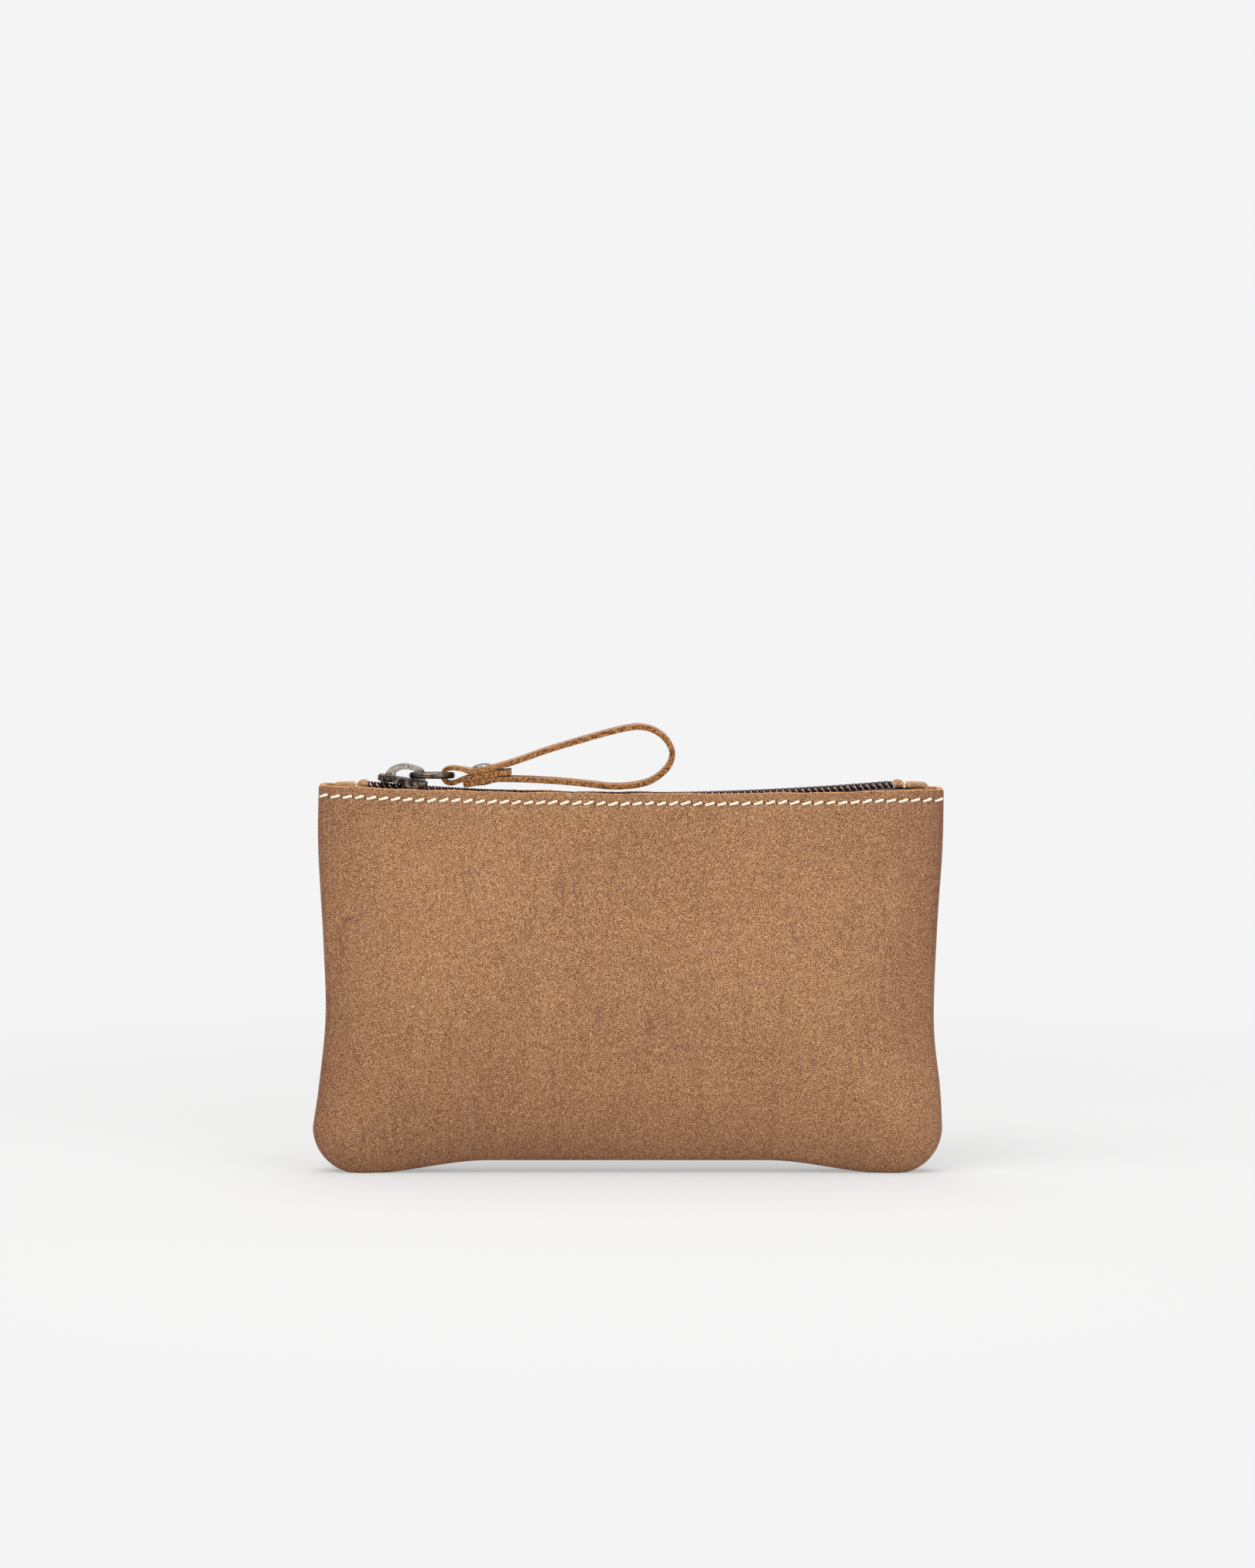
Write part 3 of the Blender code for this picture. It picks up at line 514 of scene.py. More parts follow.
PANEL_GRAIN = grain_leather("panel_grain", (0.638, 0.566, 0.54), edge_attribute="rub_and_shade")
TAB_GRAIN = grain_leather("tab_grain", (0.72, 0.655, 0.63))
STRAP_GRAIN = grain_leather("strap_grain", (0.63, 0.57, 0.545))
PANEL_EDGE = raw_leather("panel_raw_edge", srgb(226, 164, 96), srgb(188, 122, 68), 0.3)
PANEL_FLESH = raw_leather("panel_flesh", srgb(196, 148, 108), srgb(160, 112, 78), 0.2)
TAB_EDGE = raw_leather("tab_raw_edge", srgb(206, 166, 124), srgb(158, 114, 80), 0.25)
STRAP_EDGE = raw_leather("strap_raw_edge", srgb(192, 134, 72), srgb(110, 68, 40), 0.56, (0.6, 1.0, 0.6))
THREAD_CREAM = thread_material("thread_cream", srgb(246, 240, 222))
# pale pinkish tie thread: partly real sewing thread, partly painted highlight on the dark coil
COIL_THREAD_AND_HIGHLIGHT = thread_material("coil_thread_and_highlight", srgb(206, 172, 170))
COIL_NYLON = coil_material("coil_nylon")
TAPE_WEAVE = woven_tape("tape_weave")
CROWN_METAL = metal_material("crown_metal", srgb(200, 191, 180), srgb(56, 47, 40), 0.46, 0.38)
SLIDER_METAL = metal_material("slider_metal", srgb(168, 155, 140), srgb(44, 34, 29), 0.52, 0.3)
RING_METAL = metal_material("ring_metal", srgb(106, 94, 85), srgb(42, 35, 31), 0.46, 0.23)
RIVET_METAL = metal_material("rivet_metal", srgb(168, 162, 160), srgb(72, 66, 64), 0.45, 0.26)
NEEDLE_HOLE = dark_hole("needle_hole")


# ---------------------------------------------------------------- mesh helpers


def smoothstep(t):
    """0 below 0, 1 above 1, and a smooth rise between them."""
    t = min(max(t, 0.0), 1.0)
    return t * t * (3 - 2 * t)


def add_object(name, mesh, body, skins, replaces=()):
    """Links a finished mesh as a piece that rides on a body."""
    obj = bpy.data.objects.new(name, mesh)
    bpy.context.scene.collection.objects.link(obj)
    for skin in skins:
        mesh.materials.append(skin)
    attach(obj, body)
    if replaces:
        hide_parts(*replaces)
    return obj


def mesh_from(name, points, faces, kinds=None):
    """A mesh from points in millimetres, with one material number a face."""
    mesh = bpy.data.meshes.new(name)
    mesh.from_pydata([tuple(c * MM for c in p) for p in points], [], faces)
    if kinds is not None:
        mesh.polygons.foreach_set("material_index", kinds)
    mesh.shade_smooth()
    mesh.update()
    return mesh


def smooth_path(points, per_span):
    """Points on a Catmull-Rom curve through the given points."""
    route = [np.array(p, dtype=float) for p in points]
    route = [2 * route[0] - route[1], *route, 2 * route[-1] - route[-2]]
    out = []
    for a, b, c, d in zip(route, route[1:], route[2:], route[3:]):
        for step in range(per_span):
            t = step / per_span
            out.append(0.5 * (2 * b + (c - a) * t + (2 * a - 5 * b + 4 * c - d) * t**2
                              + (3 * b - a - 3 * c + d) * t**3))
    out.append(route[-2])
    return np.array(out)


def spaced_path(points, fractions):
    """A polyline resampled at fractions of its length."""
    points = np.asarray(points, dtype=float)
    steps = np.linalg.norm(np.diff(points, axis=0), axis=1)
    along = np.concatenate([[0.0], np.cumsum(steps)])
    targets = np.asarray(fractions) * along[-1]
    return np.column_stack([np.interp(targets, along, points[:, k]) for k in range(points.shape[1])])


def normals_2d(points):
    """Unit normals of a curve in the plane, to the left of its direction."""
    run = np.gradient(points, axis=0)
    run /= np.linalg.norm(run, axis=1)[:, None]
    return np.column_stack([-run[:, 1], run[:, 0]])


def tube_faces(rings, sides):
    """Faces between rings of points that follow each other."""
    faces = []
    for i in range(rings - 1):
        for k in range(sides):
            m = (k + 1) % sides
            faces.append((i * sides + k, i * sides + m, (i + 1) * sides + m, (i + 1) * sides + k))
    return faces


def end_caps(rings, sides):
    """Faces that close the first and the last ring of a tube."""
    return [tuple(reversed(range(sides))), tuple((rings - 1) * sides + k for k in range(sides))]


def ring_tube(path, radii, sides, up, twist=0.0, lobes=0, lobe=0.0):
    """Points and faces of a closed-ended tube along a path; lobes and twist make it a laid thread."""
    path = [Vector(p) for p in path]
    count = len(path)
    points = []
    for i, centre in enumerate(path):
        along = (path[min(i + 1, count - 1)] - path[max(i - 1, 0)]).normalized()
        side = along.cross(Vector(up)).normalized()
        rise = side.cross(along)
        radius = radii[i] if hasattr(radii, "__len__") else radii
        for k in range(sides):
            angle = 2 * math.pi * k / sides
            bulge = 1.0 + lobe * math.cos(lobes * angle + twist * i)
            points.append(centre + (side * math.cos(angle) + rise * math.sin(angle)) * radius * bulge)
    return points, tube_faces(count, sides) + end_caps(count, sides)


def gather(pieces):
    """Joins several (points, faces) into one."""
    points, faces = [], []
    for new_points, new_faces in pieces:
        start = len(points)
        points.extend(new_points)
        faces.extend(tuple(start + v for v in face) for face in new_faces)
    return points, faces


# ---------------------------------------------------------------- panels


def bottom_edge(x):
    """Height of the arch of the bottom edge at x."""
    return BOTTOM_ARCH * smoothstep((BOTTOM_ARCH_FROM - abs(x)) / BOTTOM_ARCH_RUN)


def seam_outline():
    """The silhouette from the left top corner round the bottom to the right top corner."""
    left = smooth_path(SIDE_LEFT, 12)
    right = smooth_path(SIDE_RIGHT, 12)[::-1]
    quarter = [math.radians(a) for a in range(5, 91, 5)]
    corner_left = [(-HALF_WIDTH + CORNER_RADIUS * (1 - math.cos(a)), CORNER_TOP - CORNER_RADIUS * math.sin(a))
                   for a in quarter]
    corner_right = [(-x, z) for x, z in reversed(corner_left)]
    xs = np.linspace(corner_left[-1][0], corner_right[0][0], 121)[1:-1]
    bottom = [(x, -GROUND_PRESS + bottom_edge(x)) for x in xs]
    return np.array([*left, *corner_left, *bottom, *corner_right, *right])


OUTLINE = seam_outline()


def lip_height(x, side):
    """Height of a panel's raw edge at x."""
    height = LIP_LOW + LIP_BOW * (x / HALF_WIDTH) ** 2 - LIP_TILT * x / HALF_WIDTH
    if side > 0:
        height -= BACK_LIP_DROP * (1 - (x / HALF_WIDTH) ** 2)
    return height + LIP_WAVE * math.sin(x * 0.19 + side) + LIP_RIPPLE * math.sin(x * 0.43)


def edge_distance(x, z):
    """Distance from the outline."""
    a = OUTLINE[:-1]
    run = OUTLINE[1:] - a
    point = np.array([x, z])
    t = np.clip(((point - a) * run).sum(1) / (run**2).sum(1), 0.0, 1.0)
    return float(np.linalg.norm(a + run * t[:, None] - point, axis=1).min())


def stitch_line(x, side):
    """Height of the topstitching at x."""
    return lip_height(x, side) - STITCH_DROP


def from_roll(x, z):
    """Distance from the seam roll."""
    return max(edge_distance(x, z) - SEAM_INSET, 0.0)


def shoulder_depth(d):
    """Half depth at a distance from the seam roll, before the belly is added."""
    return ROLL_DEPTH + (LIP_DEPTH - ROLL_DEPTH) * (1 - math.exp(-d / SHOULDER_RUN))


def half_depth(x, z, side):
    """Distance of the grain face from the middle plane: shoulder, belly, waves and the stitches' dimples."""
    d = from_roll(x, z)
    fullness = 1.0
    if z > BELLY_HEIGHT:
        fullness = smoothstep((BELLY_TOP - z) / (BELLY_TOP - BELLY_HEIGHT))
    depth = shoulder_depth(d) + BELLY * fullness * (1 - math.exp(-((d / BELLY_RUN) ** BELLY_POWER)))
    away = smoothstep(d / WAVES_FROM_SEAM) * smoothstep((LIP_LOW - z) / WAVES_FROM_LIP)
    swell = noise.noise(Vector((x * 0.021, side * 3.7, z * 0.026)))
    ripple = noise.noise(Vector((x * 0.055 + 9.0, side * 5.1, z * 0.032)))
    depth += away * (SWELL * swell + RIPPLE * ripple)
    off_stitch = (z - stitch_line(x, side)) / DIMPLE_REACH
    pull = 0.75 + 0.25 * math.cos(2 * math.pi * x / STITCH_PITCH)
    return depth - STITCH_DIMPLE * pull * math.exp(-off_stitch * off_stitch)


def side_from_lip(points, side):
    """One side edge, lowest point last, cut off at the height of the raw edge."""
    lip = lip_height(points[0, 0], side)
    below = points[points[:, 1] < lip]
    x = np.interp(lip, points[::-1, 1], points[::-1, 0])
    return np.vstack([[(x, lip)], below])


def panel_edge(side):
    """The outline in steps: down the left side, along the bottom and up the right side."""
    half = len(OUTLINE) // 2
    lowest_left = int(np.argmin(OUTLINE[:half, 1]))
    lowest_right = len(OUTLINE) - 1 - int(np.argmin(OUTLINE[::-1][:half, 1]))
    band = np.linspace(0.0, LIP_BAND, LIP_ROWS + 1)[:-1]
    rest = np.linspace(0.0, 1.0, ROWS - LIP_ROWS + 1)
    below = LIP_BAND + (LIP_LOW - LIP_BAND) * (1 - (1 - rest) ** CORNER_CROWDING)
    down = np.concatenate([band, below]) / LIP_LOW
    t = np.linspace(0.0, 1.0, COLUMNS + 1)
    across = 0.5 * t + 0.5 * (0.5 - 0.5 * np.cos(math.pi * t))
    left = spaced_path(side_from_lip(OUTLINE[:lowest_left + 1], side), down)
    bottom = spaced_path(OUTLINE[lowest_left:lowest_right + 1], across)
    right = spaced_path(side_from_lip(OUTLINE[lowest_right:][::-1], side), down)[::-1]
    return left, bottom, right, down, across


def panel(name, side):
    """A leather panel with its rolled seam, its turned allowance and its raw top edge."""
    left, bottom, right, down, across = panel_edge(side)
    edge = np.vstack([left, bottom[1:], right[1:]])
    inward = normals_2d(edge)
    inward[0] = (1.0, 0.0)
    inward[-1] = (-1.0, 0.0)
    inner = edge + inward * SEAM_INSET
    inner_left = inner[:ROWS + 1]
    inner_bottom = inner[ROWS:ROWS + COLUMNS + 1]
    inner_right = inner[ROWS + COLUMNS:][::-1]
    top_x = inner[0, 0] + (inner[-1, 0] - inner[0, 0]) * across
    top = np.array([(x, lip_height(x, side)) for x in top_x])
    # each point's darkening near the seams: partly rubbed wear, partly painted shade
    points, rub_and_shade = [], []

    def vertex(x, z, depth, near_edge):
        """Adds a point, kept above the ground, and gives its number."""
        points.append((x, side * depth, max(z, 0.0)))
        rub_and_shade.append(near_edge)
        return len(points) - 1

    face = []
    for j in range(ROWS + 1):
        # Share of the top edge's shape, which levels off at the bottom so that the rows there don't fold
        high = (1 - down[j]) ** 2
        row = []
        for i in range(COLUMNS + 1):
            u = across[i]
            p = ((1 - u) * inner_left[j] + u * inner_right[j]
                 + high * (top[i] - (1 - u) * top[0] - u * top[-1])
                 + (1 - high) * (inner_bottom[i] - (1 - u) * inner_bottom[0] - u * inner_bottom[-1]))
            on_edge = j == ROWS or i in (0, COLUMNS)
            away = edge_distance(p[0], p[1])
            depth = ROLL_DEPTH if on_edge else half_depth(p[0], p[1], side)
            row.append(vertex(p[0], p[1], depth, EDGE_RUB_AND_SHADE * math.exp(-away / EDGE_RUB_AND_SHADE_REACH)))
        face.append(row)
    faces = [(a, b, c, d) for row, below in zip(face, face[1:])
             for a, b, c, d in zip(row, row[1:], below[1:], below)]
    loop = [row[0] for row in face] + face[-1][1:] + [row[-1] for row in reversed(face[:-1])]
    for inset, depth in reversed(SEAM_SECTION[:-1]):
        strip = []
        for (x, z), (nx, nz) in zip(edge, inward):
            reach = min(inset, FLAP_SHORT) if z > FLAP_TRIM_HEIGHT else inset
            drop = CORNER_DROP * (1 - min(depth / ROLL_DEPTH, 1.0))
            drop *= smoothstep((z - lip_height(x, side)) / CORNER_DROP_REACH + 1)
            strip.append(vertex(x + nx * reach, z + nz * reach - drop, depth, SEAM_RUB_AND_SHADE))
        faces += [(a, b, c, d) for a, b, c, d in zip(strip, loop, loop[1:], strip[1:])]
        loop = strip
    if side < 0:
        faces = [tuple(reversed(f)) for f in faces]
    mesh = mesh_from(name + "_sheet", points, faces)
    # the darkening near the seams, rubbed wear and painted shade, as a point attribute for the grain
    attribute = mesh.attributes.new("rub_and_shade", "FLOAT", "POINT")
    attribute.data.foreach_set("value", rub_and_shade)
    mesh = thick_leather(name, mesh)
    add_object(name, mesh, "pouch", (), (name.replace("_leather", "_panel"),))


def thick_leather(name, sheet):
    """The sheet given its thickness, with a softened, slightly frayed raw edge along the top."""
    for skin in (PANEL_GRAIN, PANEL_FLESH, PANEL_EDGE):
        sheet.materials.append(skin)
    guide = bpy.data.objects.new(name + "_guide", sheet)
    bpy.context.scene.collection.objects.link(guide)
    solid = guide.modifiers.new("thickness", "SOLIDIFY")
    solid.thickness = LEATHER * MM
    solid.offset = -1.0
    solid.material_offset = 1
    solid.material_offset_rim = 2
    bpy.context.view_layer.update()
    mesh = bpy.data.meshes.new_from_object(guide.evaluated_get(bpy.context.evaluated_depsgraph_get()))
    bpy.data.objects.remove(guide, do_unlink=True)
    mesh.name = name
    work = bmesh.new()
    work.from_mesh(mesh)
    corners = [edge for edge in work.edges
               if len(edge.link_faces) == 2 and min(v.co.z for v in edge.verts) > FLAP_TRIM_HEIGHT * MM
               and sum(face.material_index == 2 for face in edge.link_faces) == 1]
    bmesh.ops.bevel(work, geom=corners, offset=EDGE_ROUND * MM, segments=3, affect="EDGES", material=2,
                    clamp_overlap=True)
    rim = {vert for face in work.faces if face.material_index == 2 for vert in face.verts}
    for vert in rim:
        place = vert.co / MM
        if place.z > FLAP_TRIM_HEIGHT:
            vert.co.z += FRAY * MM * noise.noise(Vector((place.x * 1.9, place.y * 2.3, 0.7)))
            vert.co.y += 0.6 * FRAY * MM * noise.noise(Vector((place.x * 2.3, 4.0, place.y * 1.7)))
    work.to_mesh(mesh)
    work.free()
    mesh.shade_smooth()
    return mesh


def surface_point(x, z, side, proud):
    """A point standing proud of a panel's grain face."""
    return Vector((x, side * (half_depth(x, z, side) + proud), z))


def topstitch(name, side):
    """Slanted saddle stitches below the raw edge, each from one needle hole to the next."""
    stitches, holes = [], []
    start, end = OUTLINE[0, 0] + STITCH_INSET, OUTLINE[-1, 0] - STITCH_INSET
    count = int((end - start) / STITCH_PITCH)
    pitch = (end - start) / count
    steps = 13
    for k in range(count + 1):
        middle = start + k * pitch
        lean = STITCH_RISE + random.uniform(-0.15, 0.15)
        span = STITCH_SPAN + random.uniform(-0.18, 0.18)
        lift = random.uniform(-0.08, 0.08)
        path, radii = [], []
        for s in range(steps):
            t = s / (steps - 1)
            x = middle + (t - 0.5) * span * side * -1.0
            x = min(max(x, start - 0.9), end + 0.9)
            z = stitch_line(middle, side) + (smoothstep(t) - 0.5) * lean + lift
            arch = math.sin(math.pi * t) ** 0.6
            path.append(surface_point(x, z, side, -STITCH_SINK + STITCH_ARCH * arch))
            radii.append(THREAD * (0.62 + 0.38 * math.sin(math.pi * min(max(t, 0.04), 0.96)) ** 0.4))
        stitches.append(ring_tube(path, radii, 14, up=(0.0, side, 0.0), twist=0.62, lobes=2, lobe=0.13))
        for t in (0.0, 1.0):
            x = middle + (t - 0.5) * (span + 0.35) * side * -1.0
            z = stitch_line(middle, side) + (t - 0.5) * lean + lift
            if start - 0.5 < x < end + 0.5:
                holes.append(hole_dot(surface_point(x, z, side, 0.0), side))
    mesh = mesh_from(name, *gather(stitches))
    add_object(name, mesh, "pouch", (THREAD_CREAM,), (name.replace("_stitches", "_topstitch"),))
    mesh = mesh_from(name + "_holes", *gather(holes))
    add_object(name + "_holes", mesh, "pouch", (NEEDLE_HOLE,))


def hole_dot(centre, side):
    """A small dark pit round a needle hole."""
    points, faces = [], []
    sides = 10
    profile = [(0.0, 0.04), (0.24, 0.03), (0.4, 0.0), (0.32, -0.3), (0.0, -0.3)]
    points.append(centre + Vector((0.0, side * profile[0][1], 0.0)))
    for radius, out in profile[1:-1]:
        for k in range(sides):
            angle = 2 * math.pi * k / sides
            points.append(centre + Vector((1.2 * radius * math.cos(angle), side * out,
                                           0.75 * radius * math.sin(angle))))
    points.append(centre + Vector((0.0, side * profile[-1][1], 0.0)))
    rings = len(profile) - 2
    for k in range(sides):
        m = (k + 1) % sides
        faces.append((0, 1 + k, 1 + m))
        for r in range(rings - 1):
            here, below = 1 + r * sides, 1 + (r + 1) * sides
            faces.append((here + k, below + k, below + m, here + m))
        last = 1 + (rings - 1) * sides
        faces.append((last + k, len(points) - 1, last + m))
    if side > 0:
        faces = [tuple(reversed(f)) for f in faces]
    return points, faces


def seam_thread(name, side, node):
    """Lockstitches of the closing seam, inside the pouch."""
    left, bottom, right = panel_edge(side)[:3]
    edge = np.vstack([left, bottom[1:], right[1:]])
    line = edge + normals_2d(edge) * SEAM_LINE
    line = line[line[:, 1] < SEAM_TOP]
    path = spaced_path(line, np.linspace(0.0, 1.0, SEAM_STITCHES * 6 + 1))
    depth = PANEL_GAP + LEATHER
    stitches = []
    for k in range(SEAM_STITCHES):
        run = path[k * 6:k * 6 + 6]
        points = [(x, side * (depth + 0.05 + 0.3 * math.sin(math.pi * i / 5)), z)
                  for i, (x, z) in enumerate(run)]
        stitches.append(ring_tube(points, SEAM_THREAD, 8, up=(0.0, 1.0, 0.0), twist=0.8, lobes=2, lobe=0.12))
    add_object(name, mesh_from(name, *gather(stitches)), "pouch", (THREAD_CREAM,), (node,))


# ---------------------------------------------------------------- zip


def zip_top(x):
    """Height of the top of the coils at x, which sag in the middle."""
    return ZIP_LOW + min(abs(x), ZIP_LEVEL_FROM) ** 2 / (2 * ZIP_RADIUS)


def coil(name, side):
    """One row of nylon loops, whose heads reach between those of the other row, and their tie threads, whose
    pale colour is partly painted highlight.
    """
    loops, ties_and_highlights = [], []
    first = ZIP_LEFT + 0.3 + (COIL_PITCH / 2 if side > 0 else 0.0)
    count = int((ZIP_RIGHT - 0.1 - first) / COIL_PITCH)
    low, high = COIL_WIRE + 0.05, COIL_HEIGHT - COIL_WIRE
    middle = (low + high) / 2
    section = [(0.35, low), (-0.9, low), (-2.1, low), (-2.52, (low + middle) / 2), (-2.6, middle),
               (-2.52, (high + middle) / 2), (-2.1, high), (-0.9, high), (0.35, high)]
    section = [(p[0], p[1]) for p in smooth_path(section, 2)]
    for k in range(count + 1):
        x = first + k * COIL_PITCH
        base = zip_top(x) - COIL_HEIGHT
        path, radii = [], []
        for y, z in section:
            lean = -0.62 * (z - middle) * 1.25
            spread = 0.34 * (1 if z > middle else -1) * smoothstep((y + 2.4) / 2.4)
            path.append((x + lean + spread, -side * y, base + z))
            radii.append(COIL_WIRE * (1.0 + 0.28 * smoothstep((y + 1.0) / 1.2)))
        loops.append(ring_tube(path, radii, 8, up=(1.0, 0.0, 0.0)))
        # tie thread between the loops: real thread, coloured pale as a painted highlight on the dark coil
        tie_x = x + COIL_PITCH / 2
        outer = [(-3.02, 0.1), (-2.98, 0.7), (-2.75, 1.35), (-2.2, 1.78), (-1.5, 1.8)]
        tie = [(tie_x - 0.55 * (z - 0.9), side * -y, base + z) for y, z in outer]
        ties_and_highlights.append(ring_tube(tie, TIE, 6, up=(1.0, 0.0, 0.0)))
    mesh = mesh_from(name, *gather(loops))
    add_object(name, mesh, "pouch", (COIL_NYLON,), (name.replace("_loops", ""),))
    mesh = mesh_from(name + "_ties", *gather(ties_and_highlights))
    add_object(name + "_ties", mesh, "pouch", (COIL_THREAD_AND_HIGHLIGHT,))


def tape(name, side):
    """Woven tape under the coil, turned down behind the raw edge."""
    rows = []
    for x in np.linspace(-TAPE_END, TAPE_END, TAPE_STATIONS):
        level = zip_top(x) - TAPE_DROP
        wall = shoulder_depth(from_roll(x, LIP_LOW)) - LEATHER - TAPE
        profile = [(1.1, level + 0.06), (2.2, level), (wall - 0.8, level + 0.02), (wall - 0.35, level - 0.12),
                   (wall - 0.08, level - 0.55), (wall, level - 1.2), (wall, level - 10.0)]
        rows.append([(x, side * y, z) for y, z in profile])
    width = len(rows[0])
    points = [p for row in rows for p in row]
    faces = [(i * width + k, i * width + k + 1, (i + 1) * width + k + 1, (i + 1) * width + k)
             for i in range(TAPE_STATIONS - 1) for k in range(width - 1)]
    mesh = mesh_from(name, points, faces)
    obj = add_object(name, mesh, "pouch", (TAPE_WEAVE,), (name.replace("_weave", ""),))
    solid = obj.modifiers.new("thickness", "SOLIDIFY")
    solid.thickness = TAPE * MM
    solid.offset = 0.0


def end_tab(name, node, start, direction):
    """Leather strip folded over the zip's end, pinched by its thread, with a fat rounded cut end.

    Gives the height of its top.
    """
    low, high = node_box(node)
    length = high[0] - low[0]
    level = zip_top(start) - TAPE_DROP
    half = TAB_LEATHER / 2
    line = TAB_GAP / 2 + half
    bend = length - line - half
    path = [(-0.45, line + 0.3), (0.2, line + 0.38), (1.3, line + 0.42), (2.3, line + 0.2),
            (TAB_STITCH, line - 0.12), (4.2, line), (bend, line - 0.05)]
    turn = [math.radians(a) for a in (60, 20, -20, -60)]
    path += [(bend + line * math.cos(a), line * math.sin(a)) for a in turn]
    path += [(bend, -line), (4.2, -line), (0.35, -line)]
    path = smooth_path(path, 5)
    across = 12
    normal = normals_2d(path)
    points = []
    ring = 2 * (across + 1)
    for (u, w), (nu, nw) in zip(path, normal):
        fat = half
        if w > 0:
            fat *= 1.0 + 0.3 * math.exp(-((u - 1.1) ** 2)) - 0.16 * math.exp(-((u - 3.1) / 0.5) ** 2)
            fat *= 0.35 + 0.65 * math.sqrt(min((u + 0.46) / 0.8, 1.0))
        width = TAB_HALF_WIDTH - TAB_TAPER * min(u / length, 1.0)
        for sign in (1.0, -1.0):
            for k in range(across + 1):
                v = (k / across * 2 - 1) * sign
                round_off = 1.0 - 0.35 * max(0.0, (abs(v) - 0.86) / 0.14) ** 2
                points.append((start + direction * (u + sign * nu * fat * round_off), v * width,
                               level + w + sign * nw * fat * round_off))
    count = len(path)
    faces = tube_faces(count, ring)
    kinds = [1 if k in (across, ring - 1) else 0 for k in range(ring)] * (count - 1)
    for i, end in ((0, 1), (count - 1, -1)):
        for k in range(across):
            a, b = i * ring + k, i * ring + k + 1
            c, d = i * ring + ring - 2 - k, i * ring + ring - 1 - k
            faces.append((a, b, c, d) if end > 0 else (d, c, b, a))
            kinds.append(1)
    mesh = mesh_from(name, points, faces, kinds)
    fix_normals(mesh)
    add_object(name, mesh, "pouch", (TAB_GRAIN, TAB_EDGE), (node,))
    return level + TAB_GAP / 2 + TAB_LEATHER


def fix_normals(mesh):
    """Turns every face outwards."""
    work = bmesh.new()
    work.from_mesh(mesh)
    bmesh.ops.recalc_face_normals(work, faces=work.faces)
    work.to_mesh(mesh)
    work.free()


def tab_stitch(name, node, start, direction, top):
    """One long stitch across an end tab, which bites into the leather."""
    x = start + direction * TAB_STITCH
    path = []
    steps = 17
    for s in range(steps):
        t = s / (steps - 1) * 2 - 1
        path.append((x + 0.12 * t, 3.45 * t, top - 0.02 - 1.6 * abs(t) ** 6))
    points, faces = ring_tube(path, TAB_THREAD, 12, up=(1.0, 0.0, 0.0), twist=0.7, lobes=2, lobe=0.12)
    add_object(name, mesh_from(name, points, faces), "pouch", (THREAD_CREAM,), (node,))


# ---------------------------------------------------------------- slider, ring, strap and rivet


def dress_slider():
    """The slider's two castings keep their CAD shape, with rounded edges."""
    for node, skin in (("slider_body", SLIDER_METAL), ("slider_crown", CROWN_METAL)):
        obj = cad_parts[node]
        obj.data.materials.clear()
        obj.data.materials.append(skin)
        bevel = obj.modifiers.new("worn_edges", "BEVEL")
        bevel.limit_method = "ANGLE"
        bevel.angle_limit = math.radians(30)
        bevel.width = WORN_EDGE * MM
        bevel.segments = 3
        bevel.harden_normals = True


def pull_ring():
    """Bent wire ring with the hair line where its ends meet and slightly uneven wire."""
    stations, sides = 128, 20
    turn = Matrix.Rotation(-RING_TILT, 4, "X")
    centre = Vector(RING_CENTRE)
    points, faces = [], []
    for i in range(stations):
        angle = 2 * math.pi * i / stations
        out = Vector((math.cos(angle), math.sin(angle), 0.0))
        wobble = 1.0 + 0.02 * math.sin(5 * angle + 1.0) + 0.012 * math.sin(11 * angle)
        from_split = abs((math.degrees(angle) - RING_SPLIT + 180.0) % 360.0 - 180.0)
        notch = 1.0 - 0.12 * math.exp(-((from_split / 1.6) ** 2))
        for k in range(sides):
            b = 2 * math.pi * k / sides
            offset = out * math.cos(b) + Vector((0.0, 0.0, math.sin(b)))
            points.append(centre + turn @ (out * RING_RADIUS + offset * RING_WIRE * wobble * notch))
    for i in range(stations):
        n = (i + 1) % stations
        for k in range(sides):
            m = (k + 1) % sides
            faces.append((i * sides + k, n * sides + k, n * sides + m, i * sides + m))
    mesh = mesh_from("split_ring", points, faces)
    add_object("split_ring", mesh, "ring", (RING_METAL,), ("pull_ring",))


def strap_fullness(x):
    """0 in the neck that folds round the ring, 1 where the strap has its full width and thickness."""
    neck_to, wide_from = STRAP_NECK
    return smoothstep((x - neck_to) / (wide_from - neck_to))


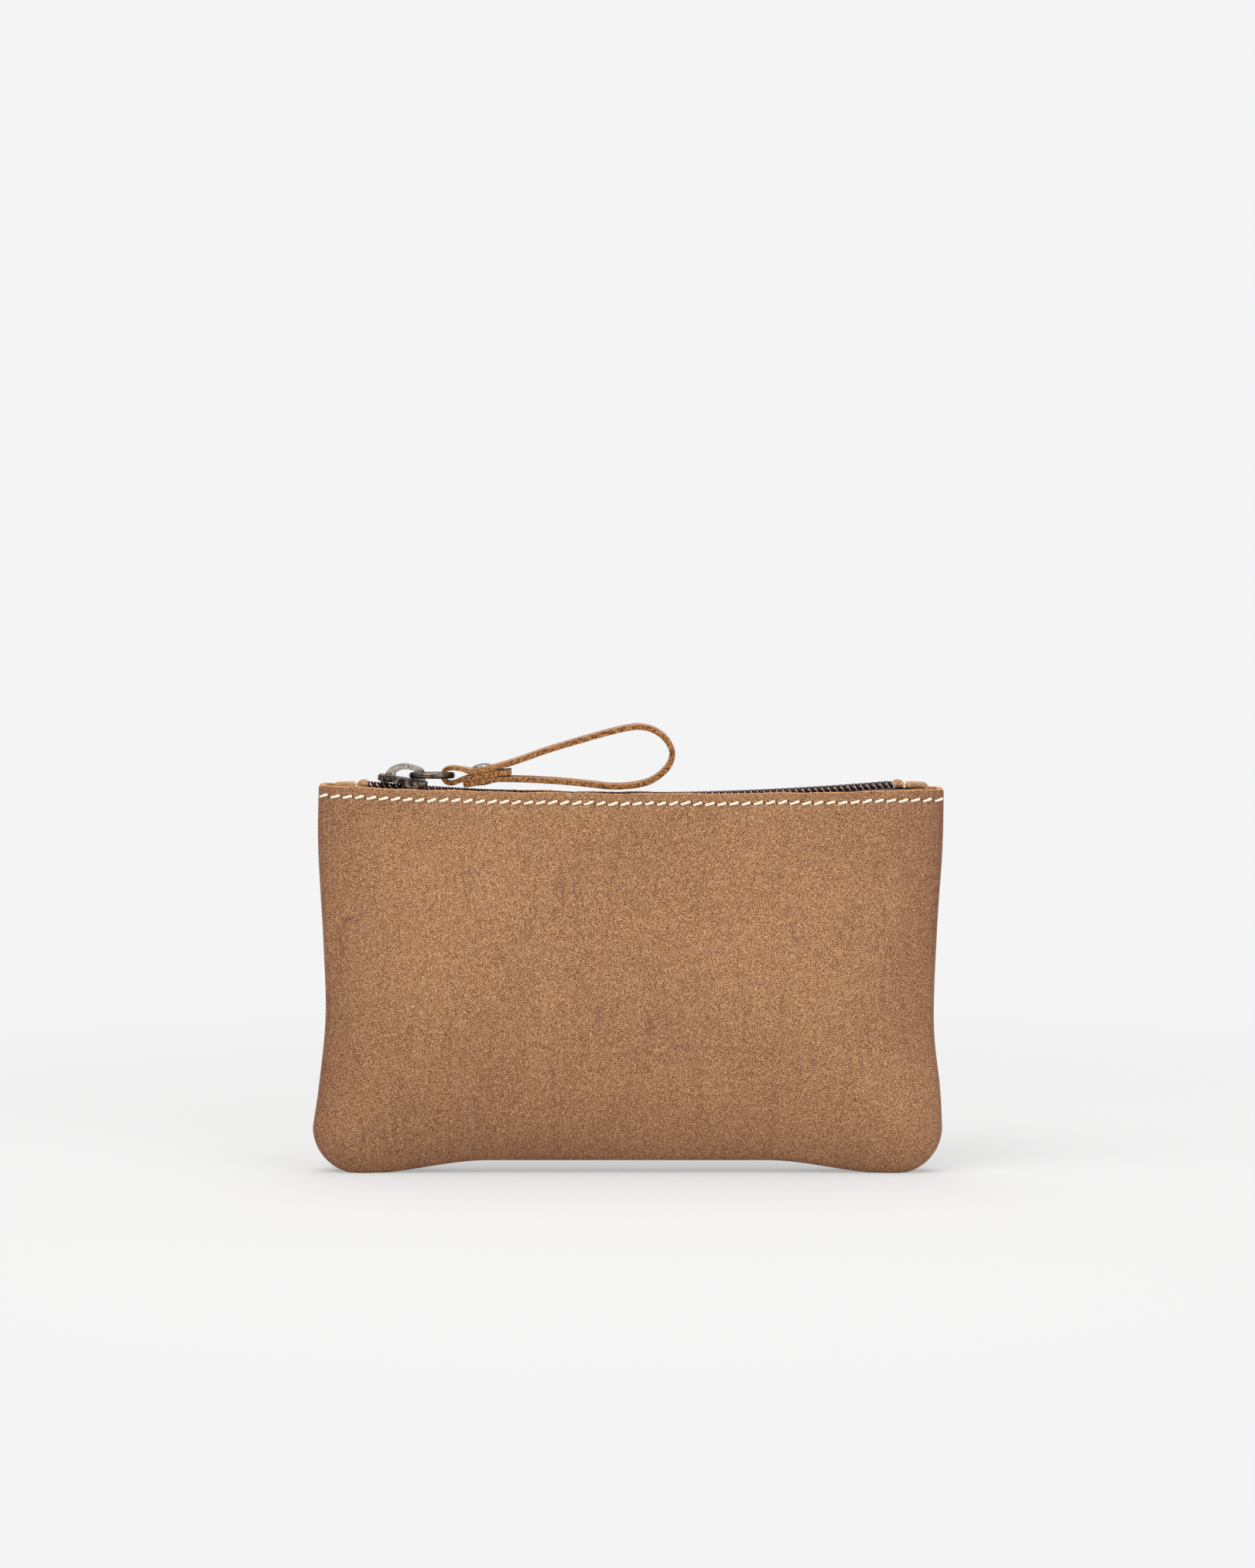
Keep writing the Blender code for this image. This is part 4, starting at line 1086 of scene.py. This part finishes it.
def pull_strap():
    """Leather strip folded round the ring: grain outside, flesh inside, and ragged cut edges."""
    path = smooth_path(STRAP_PATH, STRAP_STEPS)
    normal = normals_2d(path)
    broad, thick = 8, 5
    # Place across, place through the thickness, and material: 0 grain, 1 cut edge, 2 flesh
    section = [(v, 1.0, 0) for v in np.linspace(-1.0, 1.0, broad + 1)]
    section += [(1.0, w, 1) for w in np.linspace(1.0, -1.0, thick + 2)[1:-1]]
    section += [(v, -1.0, 2) for v in np.linspace(1.0, -1.0, broad + 1)]
    section += [(-1.0, w, 1) for w in np.linspace(-1.0, 1.0, thick + 2)[1:-1]]
    ring = len(section)
    points = []
    for (x, z), (nx, nz) in zip(path, normal):
        full = strap_fullness(x)
        width = STRAP_NECK_HALF_WIDTH + (STRAP_HALF_WIDTH - STRAP_NECK_HALF_WIDTH) * full
        half = (STRAP_NECK_THICKNESS + (STRAP - STRAP_NECK_THICKNESS) * full) / 2
        rough = 0.4 + 0.6 * full
        for v, w, kind in section:
            ragged = noise.noise(Vector((x * 1.6, w * 1.7 + z * 1.6, v * 9.0)))
            fringe = noise.noise(Vector((x * 4.5, w * 3.1 + z * 4.5, v * 4.0)))
            cut = kind == 1 or abs(v) > 0.99
            y = v * (width + rough * (0.2 * ragged + 0.16 * fringe if cut else 0.0))
            out = w * half * (0.86 + 0.2 * rough * fringe if cut else 1.0) * (1.0 + 0.07 * rough * ragged)
            points.append((x + nx * out, y, z + nz * out))
    count = len(path)
    faces = tube_faces(count, ring) + end_caps(count, ring)
    around = []
    for here, after in zip(section, section[1:] + section[:1]):
        sides = {here[2], after[2]}
        around.append(sides.pop() if len(sides) == 1 else 1)
    kinds = around * (count - 1) + [1, 1]
    mesh = mesh_from("loop_strap", points, faces, kinds)
    fix_normals(mesh)
    mesh.set_sharp_from_angle(angle=math.radians(60))
    skins = (STRAP_GRAIN, STRAP_EDGE, PANEL_FLESH)
    add_object("loop_strap", mesh, "strap", skins, ("pull_strap",))


def turned(name, profile, node):
    """A turned metal part on the rivet's axis, from its profile of (radius, height) points."""
    steps = 48
    points = []
    for r, z in profile:
        for k in range(steps):
            angle = 2 * math.pi * k / steps
            points.append((r * math.cos(angle), r * math.sin(angle), z))
    faces = tube_faces(len(profile), steps) + end_caps(len(profile), steps)
    turn = Matrix.Rotation(-RIVET_SLOPE, 4, "Y")
    place = Vector((RIVET_X, 0.0, RIVET_BOTTOM_Z))
    mesh = mesh_from(name, [place + turn @ Vector(p) for p in points], faces)
    fix_normals(mesh)
    mesh.set_sharp_from_angle(angle=math.radians(40))
    add_object(name, mesh, "strap", (RIVET_METAL,), (node,))


def rivet():
    """The domed cap on top, and the shank with its flatter foot."""
    top = RIVET_STACK + 0.02
    dome = [(RIVET_HEAD * math.sin(a), top + 0.1 + 0.78 * math.cos(a))
            for a in np.linspace(0.03, math.pi / 2, 12)]
    turned("rivet_top_cap", [*dome, (2.86, top - 0.05), (2.6, top - 0.12), (0.5, top - 0.12)], "rivet_cap")
    foot = [(RIVET_HEAD * math.sin(a), -0.1 - 0.42 * math.cos(a)) for a in np.linspace(math.pi / 2, 0.03, 12)]
    shank = [(0.5, top - 0.3), (RIVET_SHANK, top - 0.3), (RIVET_SHANK, 0.0), (2.6, 0.0)]
    turned("rivet_foot", [*shank, *foot], "rivet_post")


# ---------------------------------------------------------------- the whole scene


def build():
    bpy.context.scene.view_settings.view_transform = "Standard"
    camera()
    studio_world()
    lights()
    floor()
    for word, side in (("front", -1), ("back", 1)):
        panel(f"{word}_leather", side)
        topstitch(f"{word}_stitches", side)
        seam_thread(f"{word}_seam_stitches", side, f"{word}_seam_thread")
        coil(f"{word}_coil_loops", side)
        tape(f"{word}_tape_weave", side)
    for word, start, direction in (("left", ZIP_LEFT - TAB_START, -1), ("right", ZIP_RIGHT + TAB_START, 1)):
        top = end_tab(f"{word}_tab_leather", f"{word}_end_tab", start, direction)
        tab_stitch(f"{word}_tab_thread", f"{word}_tab_stitch", start, direction, top)
    dress_slider()
    pull_ring()
    pull_strap()
    rivet()


build()
